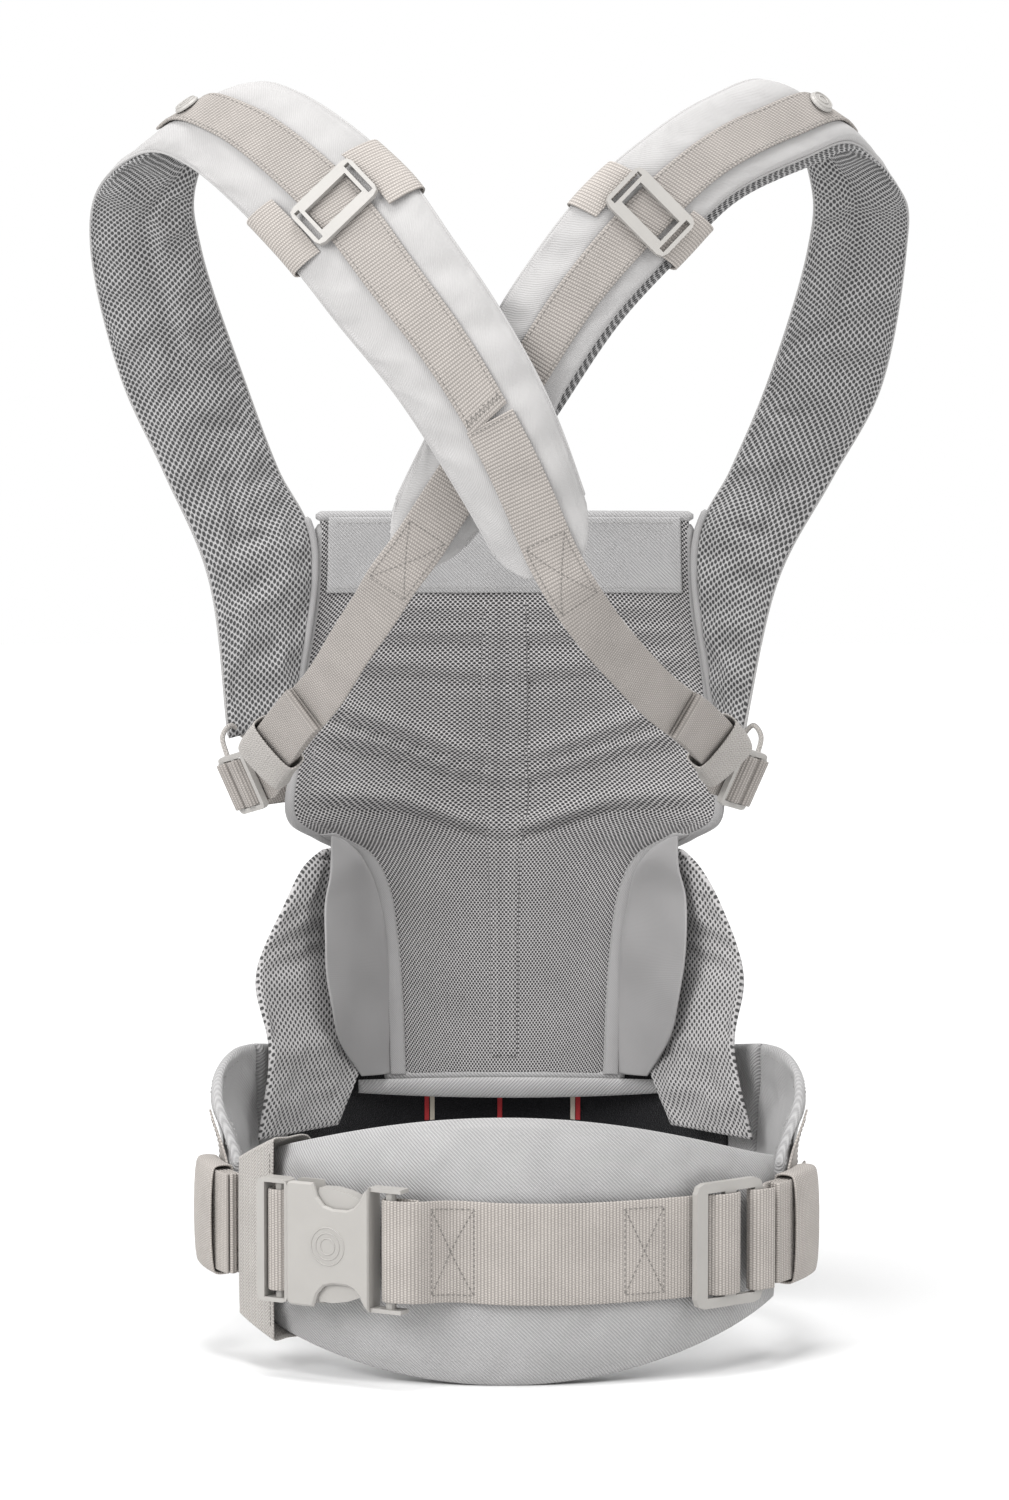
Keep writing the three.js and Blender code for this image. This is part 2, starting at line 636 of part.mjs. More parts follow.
const PAD_TOP = PAD_FOAM + PAD_COVER + 4 * GAP;   // underside of what lies on a strap

// The webbing sewn along the back of a strap, up to the seam where the next piece begins.
function buildBackWebbing(name, strap) {
  const surface = strapSurface(strap);
  const strip = (u, v) => surface(lerp(strap.webStart, strap.seam, u), lerp(strap.web[0], strap.web[1], v));
  addPiece(`back_webbing_${name}`, slab(strip, 16, 2, PAD_TOP, PAD_TOP + WEB), 'webbing');
}

const SLIDER = { across: 40, along: 26, window: [26.6, 14], thick: 3, lift: 8.6 };

// The slider over the back webbing, and the two elastic bands that tie it around the strap.
function buildSlider(name, strap) {
  const surface = strapSurface(strap);
  const place = strap.slider;
  const middle = (strap.web[0] + strap.web[1]) / 2;
  const normal = normalAt(surface, place, middle);
  const along = surface(place + 0.01, middle).sub(surface(place - 0.01, middle));
  const centre = surface(place, middle).addScaledVector(normal, SLIDER.lift + SLIDER.thick / 2);
  const seat = new Seat(centre, normal, along);
  const [wide, tall] = SLIDER.window;
  const bandSlot = (x) => [x - 1.4, -10, 2.8, 20];
  const frame = slottedFrame([-SLIDER.across / 2, -SLIDER.along / 2, SLIDER.across, SLIDER.along],
    [[-wide / 2, -tall / 2, wide, tall], bandSlot(-16.6), bandSlot(16.6)], 4, SLIDER.thick);
  addPiece(`slider_${name}`, seat.place(frame), 'plastic');
  const half = 0.026;
  const path = [[0.79, 6.9], [0.86, 6.4], [0.95, 5], [1.025, 2.4], [1.04, -0.6], [1.02, -3.6],
    [0.95, -6.6], [0.86, -8.4], [0.76, -8.8]];
  const mirrored = path.map(([v, distance]) => [1 - v, distance]).reverse();
  const bands = strap.side < 0 ? { neck: path, arm: mirrored } : { neck: mirrored, arm: path };
  for (const [edge, section] of Object.entries(bands)) {
    const band = wrapped(surface, place - half, place + half, section);
    addPiece(`slider_band_${edge}_${name}`, slab(band, 2, 8, -0.5, 0.5), 'elastic');
  }
}

// The press stud at the top of a strap.
function buildStud(name, strap) {
  const surface = strapSurface(strap);
  const normal = normalAt(surface, strap.stud, 0.5);
  const profile = [[0, 0], [6.5, 0], [6.5, 0.8], [5.6, 1.8], [3.6, 2.2], [0, 2.2]];
  const cap = new THREE.LatheGeometry(profile.map(([r, y]) => new THREE.Vector2(r, y)), 20);
  const turn = new THREE.Quaternion().setFromUnitVectors(vec(0, 1, 0), normal);
  const foot = surface(strap.stud, 0.5).addScaledVector(normal, PAD_TOP + WEB + GAP);
  addPiece(`stud_${name}`, cap.applyQuaternion(turn).translate(...foot.toArray()), 'plastic');
}

// ---------------------------------------------------------------- crossed webbing and side adjusters

const LADDER = { across: 31, thick: 3, near: -13, far: 11, slots: [[-10, 6], [-1, 7]] };

// The +X side is pulled in closer to the panel than the -X side.
const reachOf = (side) => (side > 0 ? 0.91 : 1);

function ladderSeat(side) {
  const centre = vec(side * 133 * reachOf(side), 40, side > 0 ? 213 : 211);
  return new Seat(centre, vec(side * 0.73, -0.6, -0.32), vec(side * 0.55, 0.8, -0.24));
}

// Webbing from the seam on one strap, off the pad's tip and across the back to the other side.
function crossRibbon(strap) {
  const surface = strapSurface(strap);
  const middle = (strap.web[0] + strap.web[1]) / 2;
  const onPad = (u) => {
    const v = lerp(middle, 0.5, (u - strap.seam) / (1 - strap.seam));
    const normal = normalAt(surface, u, v);
    const point = surface(u, v).addScaledVector(normal, PAD_TOP + WEB / 2);
    return [point.toArray(), normal.toArray()];
  };
  const start = strap.seam + 0.008;
  const pad = [0, 1, 2, 3].map((k) => onPad(lerp(start, 0.99, k / 3)));
  const seat = ladderSeat(-strap.side);
  const hardware = [[4, -16.5], [3.7, -11.8], [0, -7.3], [-2.9, -4.6], [-2.9, -0.4], [0.8, 2]];
  return ribbon([...pad, ...strap.free, ...hardware.map((p) => seat.station(...p, -1))], SHOULDER_WEB);
}

function buildCrossWebbing(name, strap) {
  const surface = crossRibbon(strap);
  addPiece(`cross_webbing_${name}`, slab(surface, 48, 1, -WEB / 2, WEB / 2), 'webbing');
  const [from, keeper, to] = strap.tail;
  const part = (u, v) => surface(lerp(from, to, u), v);
  const flank = strap.side > 0 ? 'left' : 'right';
  addPiece(`side_tail_${flank}`, slab(part, 6, 1, WEB / 2 + 2 * GAP, 6.6), 'webbing');
  const band = wrapped(surface, keeper, to, keeperPath(2.3, 8.2, 0.09));
  addPiece(`side_keeper_${flank}`, slab(band, 3, 9, -0.5, 0.5), 'elastic');
}

function buildSideAdjuster(name, side) {
  const seat = ladderSeat(side);
  const { across, thick, near, far, slots } = LADDER;
  const frame = slottedFrame([-across / 2, near, across, far - near],
    slots.map(([z, height]) => [-13, z, 26, height]), 3, thick);
  addPiece(`side_adjuster_${name}`, seat.place(frame), 'plastic');
  const out = side * reachOf(side);
  const anchor = [
    [[side * 99, 113, 205], [side * 0.3, 0.95, 0]], [[side * 112, 107, 206], [side * 0.4, 0.85, -0.35]],
    [[out * 135, 93, 202], [side * 0.56, 0.3, -0.76]], [[out * 133, 78, 204], [side * 0.68, -0.3, -0.65]],
  ];
  const loop = [[3.6, 18], [3.1, 12.5], [3.1, 6.8], [1.9, 4.5], [-1.9, 4.5], [-3.1, 6.8], [-3.1, 10.5]];
  const route = [...anchor, ...loop.map((p) => seat.station(...p, 1))];
  addPiece(`side_webbing_${name}`, slab(ribbon(route, SHOULDER_WEB), 30, 1, -WEB / 2, WEB / 2), 'webbing');
  const cord = curve([
    [out * 134, 79, 232], [out * 140, 73, 235], [out * 143, 65, 230], [out * 141, 57, 223],
  ]);
  const circle = new THREE.Shape().absarc(0, 0, 1.3, 0, 2 * Math.PI);
  addPiece(`side_cord_${name}`, new THREE.ExtrudeGeometry(circle,
    { extrudePath: cord, steps: 10, curveSegments: 4 }), 'elastic');
}

// ---------------------------------------------------------------- build

buildLumbarPad();
buildBelt();
buildWing('left', -1);
buildWing('right', 1);
buildFemale();
buildMale();
buildProng('waist_prong_upper', 1);
buildProng('waist_prong_lower', -1);
buildTriglide();
buildWaistWebbing();
buildWaistTail('left', [-81, -63], [-82, -68.5], BUCKLE_RISE);
buildWaistTail('right', [59, 78], [64, 77.5], 0);
buildLumbarBand();
buildPanel();
buildHeadFlap();
buildThighPad('left', -1);
buildThighPad('right', 1);
for (const [name, strap] of Object.entries(STRAPS)) {
  buildStrap(name, strap);
  buildBackWebbing(name, strap);
  buildSlider(name, strap);
  buildStud(name, strap);
  buildCrossWebbing(name, strap);
}

buildSideAdjuster('left', -1);
buildSideAdjuster('right', 1);

export default carrier;
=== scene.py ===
# A soft baby carrier, worn: cloth pieces, hardware finishes, studio and camera over the CAD frame.
# Routes and sizes repeat the CAD part, in millimetres; meshes are written in metres.

import math

import bpy
import numpy as np
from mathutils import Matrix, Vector
from mathutils.bvhtree import BVHTree


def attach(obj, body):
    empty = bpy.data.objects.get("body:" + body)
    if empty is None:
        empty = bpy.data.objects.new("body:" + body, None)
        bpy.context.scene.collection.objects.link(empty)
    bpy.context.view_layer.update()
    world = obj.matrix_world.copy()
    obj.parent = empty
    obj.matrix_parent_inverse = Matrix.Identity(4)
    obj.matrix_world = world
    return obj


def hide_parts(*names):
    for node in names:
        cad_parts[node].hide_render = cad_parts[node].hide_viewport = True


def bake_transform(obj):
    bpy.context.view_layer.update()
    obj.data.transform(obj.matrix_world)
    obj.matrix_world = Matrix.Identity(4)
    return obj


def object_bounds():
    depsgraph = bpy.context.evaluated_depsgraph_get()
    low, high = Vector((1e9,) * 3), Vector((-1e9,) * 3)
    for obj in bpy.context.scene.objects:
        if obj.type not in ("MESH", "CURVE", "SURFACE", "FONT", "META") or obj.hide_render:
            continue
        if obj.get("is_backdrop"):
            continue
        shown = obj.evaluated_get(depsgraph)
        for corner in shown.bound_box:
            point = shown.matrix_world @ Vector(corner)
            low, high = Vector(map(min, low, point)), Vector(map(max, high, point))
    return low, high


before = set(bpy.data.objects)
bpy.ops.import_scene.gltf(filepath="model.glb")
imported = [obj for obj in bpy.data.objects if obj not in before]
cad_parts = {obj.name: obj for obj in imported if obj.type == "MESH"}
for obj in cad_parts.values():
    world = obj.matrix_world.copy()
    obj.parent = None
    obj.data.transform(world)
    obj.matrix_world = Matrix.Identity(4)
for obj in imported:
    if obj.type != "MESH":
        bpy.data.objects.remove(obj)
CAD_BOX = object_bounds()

MM = 0.001
SIDES = {"left": -1, "right": 1}

# ---------------------------------------------------------------- camera, floor and light

scene = bpy.context.scene
scene.view_settings.view_transform = "Standard"


def add_object(name, data):
    item = bpy.data.objects.new(name, data)
    scene.collection.objects.link(item)
    return item


def build_camera():
    lens = bpy.data.cameras.new("camera")
    lens.sensor_fit = "VERTICAL"
    lens.sensor_height = 24
    lens.lens = 96
    camera = add_object("camera", lens)
    camera.location = (0, -2.98357, 0.54559)
    camera.rotation_euler = (math.radians(84), 0, 0)
    scene.camera = camera


def add_light(name, place, target, size, power):
    lamp = bpy.data.lights.new(name, "AREA")
    lamp.shape = "DISK"
    lamp.size = size
    lamp.energy = power
    light = add_object(name, lamp)
    light.location = place
    light.rotation_euler = (Vector(target) - Vector(place)).to_track_quat("-Z", "Y").to_euler()


def build_studio():
    world = bpy.data.worlds.new("studio")
    world.use_nodes = True
    backdrop = world.node_tree.nodes["Background"]
    backdrop.inputs["Color"].default_value = (1, 1, 1, 1)
    backdrop.inputs["Strength"].default_value = 1.0
    scene.world = world
    middle = (0, 0, 0.25)
    add_light("key", (-2.1, -1.9, 1.9), middle, 2.0, 84)
    add_light("fill", (2.2, -1.6, 1.9), middle, 2.0, 28)
    add_light("overhead", (-0.1, -0.35, 2.6), middle, 1.0, 40)
    low = CAD_BOX[0][2]
    half = 4.0
    mesh = bpy.data.meshes.new("floor")
    mesh.from_pydata([(-half, -half, low), (half, -half, low), (half, half, low), (-half, half, low)],
                     [], [(0, 1, 2, 3)])
    floor = add_object("floor", mesh)
    place = mesh.attributes.new("weave", "FLOAT_VECTOR", "POINT")
    place.data.foreach_set("vector", np.array([vertex.co for vertex in mesh.vertices]).ravel())
    look = Look("floor_paper_painted_shade", 0.9)
    x, y = look.weave()
    reach = look.math("SQRT", look.math("ADD", look.math("MULTIPLY", x, x), look.math("MULTIPLY", y, y)))
    # The floor is painted darker near the carrier (0.70, rising to full white past 2.6 m): painted shade that
    # deepens the contact shadows beneath it.
    look.colour(look.mix(look.ramp(reach, 0.9, 2.6), (0.70, 0.70, 0.70), (1.0, 1.0, 1.0)))
    mesh.materials.append(look.material)
    floor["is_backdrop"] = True


# ---------------------------------------------------------------- materials


class Look:
    """One procedural material, put together node by node."""

    def __init__(self, name, roughness, sheen=0.0, specular=0.25):
        self.material = bpy.data.materials.new(name)
        self.material.use_nodes = True
        self.tree = self.material.node_tree
        self.shader = self.tree.nodes["Principled BSDF"]
        self.shader.inputs["Roughness"].default_value = roughness
        self.shader.inputs["Specular IOR Level"].default_value = specular
        self.shader.inputs["Sheen Weight"].default_value = sheen
        self.shader.inputs["Sheen Roughness"].default_value = 0.5

    def feed(self, socket, value):
        if isinstance(value, bpy.types.NodeSocket):
            self.tree.links.new(value, socket)
        elif isinstance(value, tuple):
            socket.default_value = (*value, 1)
        else:
            socket.default_value = value

    def math(self, operation, *values):
        node = self.tree.nodes.new("ShaderNodeMath")
        node.operation = operation
        for socket, value in zip(node.inputs, values):
            self.feed(socket, value)
        return node.outputs[0]

    def mix(self, share, first, second):
        node = self.tree.nodes.new("ShaderNodeMix")
        node.data_type = "RGBA"
        self.feed(node.inputs["Factor"], share)
        self.feed(node.inputs["A"], first)
        self.feed(node.inputs["B"], second)
        return node.outputs["Result"]

    def ramp(self, value, low, high):
        node = self.tree.nodes.new("ShaderNodeMapRange")
        node.interpolation_type = "SMOOTHSTEP"
        self.feed(node.inputs["Value"], value)
        node.inputs["From Min"].default_value = low
        node.inputs["From Max"].default_value = high
        return node.outputs["Result"]

    def weave(self):
        """Distances along and across the cloth in metres."""
        node = self.tree.nodes.new("ShaderNodeAttribute")
        node.attribute_name = "weave"
        parts = self.tree.nodes.new("ShaderNodeSeparateXYZ")
        self.tree.links.new(node.outputs["Vector"], parts.inputs[0])
        return parts.outputs["X"], parts.outputs["Y"]

    def noise(self, scale, detail=2.0):
        place = self.tree.nodes.new("ShaderNodeTexCoord")
        node = self.tree.nodes.new("ShaderNodeTexNoise")
        node.inputs["Scale"].default_value = scale
        node.inputs["Detail"].default_value = detail
        self.tree.links.new(place.outputs["Object"], node.inputs["Vector"])
        return node.outputs["Fac"]

    def wave(self, value, pitch, phase=0.0):
        """A ripple from 0 to 1 that repeats every pitch metres."""
        angle = self.math("MULTIPLY_ADD", value, 2 * math.pi / pitch, phase)
        return self.math("MULTIPLY_ADD", self.math("SINE", angle), 0.5, 0.5)

    def colour(self, value):
        self.feed(self.shader.inputs["Base Color"], value)

    def bump(self, height, distance, strength=1.0):
        node = self.tree.nodes.new("ShaderNodeBump")
        node.inputs["Strength"].default_value = strength
        node.inputs["Distance"].default_value = distance
        self.tree.links.new(height, node.inputs["Height"])
        self.tree.links.new(node.outputs["Normal"], self.shader.inputs["Normal"])

    def roughen(self, value):
        self.feed(self.shader.inputs["Roughness"], value)


def shade(colour, factor):
    return tuple(channel * factor for channel in colour)


def twill_look(name, colour, pitch, contrast):
    look = Look(name, 0.9, sheen=0.12)
    x, y = look.weave()
    ribs = look.wave(look.math("ADD", x, y), pitch)
    picks = look.wave(look.math("SUBTRACT", y, x), pitch * 0.55)
    height = look.math("MULTIPLY_ADD", picks, 0.35, ribs)
    patch = look.noise(38.0, 3.0)
    tone = look.math("ADD", look.math("MULTIPLY", height, 0.5), look.math("MULTIPLY", patch, 0.4))
    look.colour(look.mix(tone, shade(colour, 1 - contrast), shade(colour, 1 + 0.3 * contrast)))
    look.bump(height, 0.0008 * contrast, 0.8)
    look.roughen(look.math("MULTIPLY_ADD", patch, 0.12, 0.82))
    return look.material


def spacer_look(name, colour, hole_shade, pitch, size):
    """Three-dimensional spacer mesh: staggered oval holes with rounded ribs between them. The holes are painted
    near-black, painted shade for the depth inside the open mesh.
    """
    look = Look(name, 0.92, sheen=0.1)
    x, y = look.weave()
    nearest = None
    for shift in (0.0, 0.5):
        across = look.math("SUBTRACT", look.math("FRACT", look.math(
            "MULTIPLY_ADD", x, 1 / (pitch * 1.15), shift)), 0.5)
        along = look.math("SUBTRACT", look.math("FRACT", look.math(
            "MULTIPLY_ADD", y, 1 / pitch, shift)), 0.5)
        square = look.math("ADD", look.math("POWER", look.math("ABSOLUTE", across), 2.0),
                           look.math("MULTIPLY", look.math("POWER", look.math("ABSOLUTE", along), 2.0), 1.7))
        reach = look.math("SQRT", square)
        nearest = reach if nearest is None else look.math("MINIMUM", nearest, reach)
    rib = look.ramp(nearest, size * 0.7, size * 1.3)
    patch = look.noise(45.0, 3.0)
    thread = look.wave(x, pitch * 0.28)
    tone = look.math("MULTIPLY_ADD", patch, 0.5, look.math("MULTIPLY", thread, 0.25))
    cloth = look.mix(tone, shade(colour, 0.82), shade(colour, 1.16))
    # Painted shade: the holes take the near-black colour in place of the shade inside them.
    look.colour(look.mix(rib, hole_shade, cloth))
    look.bump(look.math("MULTIPLY_ADD", thread, 0.12, rib), pitch * 0.22, 0.8)
    return look.material


def webbing_look(name, colour):
    """Ribbed webbing: ribs across it, broken into small beads that alternate from rib to rib."""
    look = Look(name, 0.8, sheen=0.06, specular=0.3)
    x, y = look.weave()
    pitch = 0.0017
    ribs = look.wave(x, pitch)
    step = look.math("MULTIPLY", look.math("FLOOR", look.math("MULTIPLY_ADD", x, 1 / pitch, 0.25)), 0.0006)
    beads = look.wave(look.math("ADD", y, step), 0.0012)
    height = look.math("MULTIPLY", look.math("POWER", ribs, 0.6), look.math("MULTIPLY_ADD", beads, 0.6, 0.4))
    patch = look.noise(60.0, 3.0)
    tone = look.math("MULTIPLY_ADD", patch, 0.3, look.math("MULTIPLY", height, 0.85))
    look.colour(look.mix(tone, shade(colour, 0.5), shade(colour, 1.3)))
    look.bump(height, 0.0004, 0.9)
    return look.material


def elastic_look(name, colour):
    """Herringbone elastic: slanted ribs that change direction every few millimetres."""
    look = Look(name, 0.85, sheen=0.08)
    x, y = look.weave()
    zigzag = look.math("PINGPONG", x, 0.0026)
    ribs = look.wave(look.math("ADD", y, zigzag), 0.0017)
    gutter = look.wave(x, 0.0026)
    height = look.math("MULTIPLY_ADD", gutter, 0.25, ribs)
    patch = look.noise(70.0, 2.0)
    tone = look.math("MULTIPLY_ADD", patch, 0.3, look.math("MULTIPLY", height, 0.6))
    look.colour(look.mix(tone, shade(colour, 0.62), shade(colour, 1.16)))
    look.bump(height, 0.00035, 0.9)
    return look.material


def satin_look(name, colour):
    look = Look(name, 0.5, sheen=0.1, specular=0.4)
    x, y = look.weave()
    threads = look.math("ADD", look.wave(x, 0.0007), look.wave(y, 0.0007))
    patch = look.noise(25.0, 3.0)
    look.colour(look.mix(patch, shade(colour, 0.9), shade(colour, 1.08)))
    look.roughen(look.math("MULTIPLY_ADD", patch, 0.2, 0.42))
    look.bump(threads, 0.00005, 0.5)
    return look.material


def plastic_look(name, colour):
    look = Look(name, 0.45, specular=0.5)
    grain = look.noise(900.0, 4.0)
    flow = look.noise(60.0, 3.0)
    look.colour(look.mix(flow, shade(colour, 0.94), shade(colour, 1.05)))
    look.roughen(look.math("MULTIPLY_ADD", grain, 0.25, 0.32))
    look.bump(look.math("MULTIPLY_ADD", flow, 0.5, grain), 0.00006, 0.5)
    return look.material


def hook_look(name, colour, tuft):
    look = Look(name, 0.95, sheen=0.25, specular=0.1)
    fuzz = look.noise(1400.0, 6.0)
    look.colour(look.mix(look.ramp(fuzz, 0.35, 0.75), colour, tuft))
    look.bump(fuzz, 0.0008, 0.9)
    return look.material


def thread_look(name, colour):
    look = Look(name, 0.7, sheen=0.1)
    x, y = look.weave()
    twist = look.wave(look.math("ADD", x, y), 0.0005)
    look.colour(look.mix(twist, shade(colour, 0.8), shade(colour, 1.1)))
    look.bump(twist, 0.0001, 0.6)
    return look.material


BEIGE = (0.345, 0.318, 0.295)
LOOKS = {
    "twill": (twill_look("light_twill", (0.362, 0.355, 0.352), 0.0014, 0.15), "fabric"),
    "weave": (twill_look("belt_weave", (0.375, 0.37, 0.37), 0.0019, 0.42), "fabric"),
    "panel_twill": (twill_look("panel_twill", (0.31, 0.305, 0.305), 0.0012, 0.2), "fabric"),
    # The second colour of each spacer mesh is painted shade for its holes.
    "coarse_mesh": (spacer_look("strap_spacer_mesh", (0.365, 0.36, 0.36), (0.045, 0.045, 0.046), 0.0032, 0.31),
                    "mesh"),
    "fine_mesh": (spacer_look("panel_spacer_mesh", (0.50, 0.485, 0.485), (0.03, 0.03, 0.031), 0.0024, 0.33),
                  "mesh"),
    "thigh_mesh": (spacer_look("thigh_spacer_mesh", (0.41, 0.40, 0.40), (0.05, 0.05, 0.05), 0.0032, 0.26),
                   "mesh"),
    "satin": (satin_look("gusset_satin", (0.255, 0.25, 0.25)), "satin"),
    "webbing": (webbing_look("dotted_webbing", BEIGE), "webbing"),
    "strap_webbing": (webbing_look("strap_webbing", (0.297, 0.274, 0.255)), "webbing"),
    "elastic": (elastic_look("herringbone_elastic", (0.37, 0.35, 0.33)), "elastic"),
    "plastic": (plastic_look("matte_plastic", (0.31, 0.298, 0.282)), "plastic"),
    "hook": (hook_look("black_hook_tape", (0.003, 0.003, 0.004), (0.012, 0.012, 0.014)), "hook"),
    "thread": (thread_look("sewing_thread", (0.33, 0.325, 0.32)), "fabric"),
    "dark_thread": (thread_look("shadow_thread", (0.17, 0.16, 0.15)), "webbing"),
    "red": (twill_look("red_tape", (0.42, 0.03, 0.035), 0.0009, 0.2), "webbing"),
    "cream": (twill_look("cream_tape", (0.55, 0.50, 0.42), 0.0009, 0.2), "webbing"),
}

# ---------------------------------------------------------------- curves and surfaces


def lerp(a, b, share):
    return a + (b - a) * share


def unit(vectors):
    return vectors / np.maximum(np.linalg.norm(vectors, axis=-1, keepdims=True), 1e-9)


def curve(points):
    """Centripetal Catmull-Rom curve through the points, over 0 to 1."""
    points = np.array(points, float)
    ends = np.vstack([2 * points[0] - points[1], points, 2 * points[-1] - points[-2]])
    last = len(points) - 1

    def at(t):
        t = np.asarray(t, float)
        place = t.ravel() * last
        k = np.clip(np.floor(place).astype(int), 0, last - 1)
        w = (place - k)[:, None]
        p0, p1, p2, p3 = (ends[k + i] for i in range(4))
        steps = [np.sqrt(np.linalg.norm(b - a, axis=1, keepdims=True))
                 for a, b in ((p0, p1), (p1, p2), (p2, p3))]
        d1 = np.where(steps[1] < 1e-4, 1, steps[1])
        d0 = np.where(steps[0] < 1e-4, d1, steps[0])
        d2 = np.where(steps[2] < 1e-4, d1, steps[2])
        t1 = ((p1 - p0) / d0 - (p2 - p0) / (d0 + d1) + (p2 - p1) / d1) * d1
        t2 = ((p2 - p1) / d1 - (p3 - p1) / (d1 + d2) + (p3 - p2) / d2) * d1
        c2 = -3 * p1 + 3 * p2 - 2 * t1 - t2
        c3 = 2 * p1 - 2 * p2 + t1 + t2
        return (p1 + t1 * w + c2 * w ** 2 + c3 * w ** 3).reshape(t.shape + (3,))

    return at


def between(first, second):
    return lambda u, v: lerp(first(u), second(u), np.asarray(v)[..., None])


def normals(surface, u, v, step=1e-3):
    along = surface(np.minimum(u + step, 1), v) - surface(np.maximum(u - step, 0), v)
    across = surface(u, np.minimum(v + step, 1)) - surface(u, np.maximum(v - step, 0))
    return unit(np.cross(along, across))


def free_normals(surface, u, v, step=1e-3):
    along = surface(u + step, v) - surface(u - step, v)
    across = surface(u, v + step) - surface(u, v - step)
    return unit(np.cross(along, across))


def wrapped(surface, start, end, path):
    """A band around a surface; the path gives [v, distance outward] stations."""
    middle = np.full(2, lerp(start, end, 0.5))
    first, last = surface(middle, np.array([0.0, 1.0]))
    width = np.linalg.norm(last - first)
    section = curve([(v * width, distance, 0) for v, distance in path])

    def at(u, s):
        station = section(s)
        place = lerp(start, end, u)
        v = station[..., 0] / width
        return surface(place, v) + free_normals(surface, place, v) * station[..., 1:2]

    return at


def folded(surface, path):
    """A strip laid in layers on a surface; the path gives [u, distance outward] stations."""
    ends = [min(u for u, distance in path), max(u for u, distance in path)]
    probe = np.linspace(*ends, 33)
    run = surface(probe, np.full(33, 0.5))
    length = np.linalg.norm(np.diff(run, axis=0), axis=1).sum() / (ends[1] - ends[0])
    section = curve([(u * length, distance, 0) for u, distance in path])

    def at(s, v):
        station = section(s)
        place = station[..., 0] / length
        return surface(place, v) + free_normals(surface, place, v) * station[..., 1:2]

    return at


def ribbon(stations, width):
    centre = curve([station[0] for station in stations])
    sides = []
    for k, station in enumerate(stations):
        if len(station) > 2:
            sides.append(station[2])
            continue
        following = np.array(stations[min(k + 1, len(stations) - 1)][0], float)
        previous = np.array(stations[max(k - 1, 0)][0], float)
        sides.append(unit(np.cross(np.array(station[1], float), following - previous)))
    turning = curve(sides)

    def at(u, v):
        return centre(u) + unit(turning(u)) * ((np.asarray(v)[..., None] - 0.5) * width)

    return at


def wall(route, width):
    line = curve(route)

    def at(u, v):
        point = line(u).copy()
        point[..., 2] += (np.asarray(v) - 0.5) * width
        return point

    return at


def lines(length, step, edge):
    """Grid lines from 0 to 1, closer together within the rounded edges."""
    ends = edge * (1 - np.cos(np.radians([0, 30, 60])))
    inner = np.linspace(edge, length - edge, max(2, round((length - 2 * edge) / step)) + 1)
    return np.concatenate([ends, inner, length - ends[::-1]]) / length


def away(points, route):
    """Distance of points in a plane from a polyline."""
    best = np.full(points.shape[:-1], 1e9)
    route = np.array(route, float)
    for a, b in zip(route[:-1], route[1:]):
        share = np.clip(((points - a) @ (b - a)) / max((b - a) @ (b - a), 1e-9), 0, 1)
        best = np.minimum(best, np.linalg.norm(points - a - share[..., None] * (b - a), axis=-1))
    return best


def ripple(points, size, seed):
    """Slow, uneven swells from -1 to 1 over points in millimetres."""
    total = 0
    for k in range(5):
        angle = seed * 2.4 + k * 1.9
        turn = np.array([math.cos(angle), 0.6 * math.sin(angle * 1.3), math.sin(angle)])
        total = total + np.sin(points @ turn * (2 * math.pi / (size * (0.75 + 0.27 * k))) + seed + 3 * k)
    return total / 3.2


# ---------------------------------------------------------------- mesh pieces


def add_piece(name, points, faces, look, body, weave):
    mesh = bpy.data.meshes.new(name)
    mesh.from_pydata((np.asarray(points) * MM).tolist(), [], faces)
    mesh.polygons.foreach_set("use_smooth", np.ones(len(mesh.polygons), bool))
    cloth = mesh.attributes.new("weave", "FLOAT_VECTOR", "POINT")
    cloth.data.foreach_set("vector", (np.asarray(weave) * MM).astype(np.float32).ravel())
    material, slot = LOOKS[look]
    mesh.materials.append(material)
    mesh.update()
    item = add_object(name, mesh)
    if body:
        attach(item, body)
    return item


def value_of(offset, points, u, v):
    return offset(points, u, v) if callable(offset) else np.full(u.shape, float(offset))


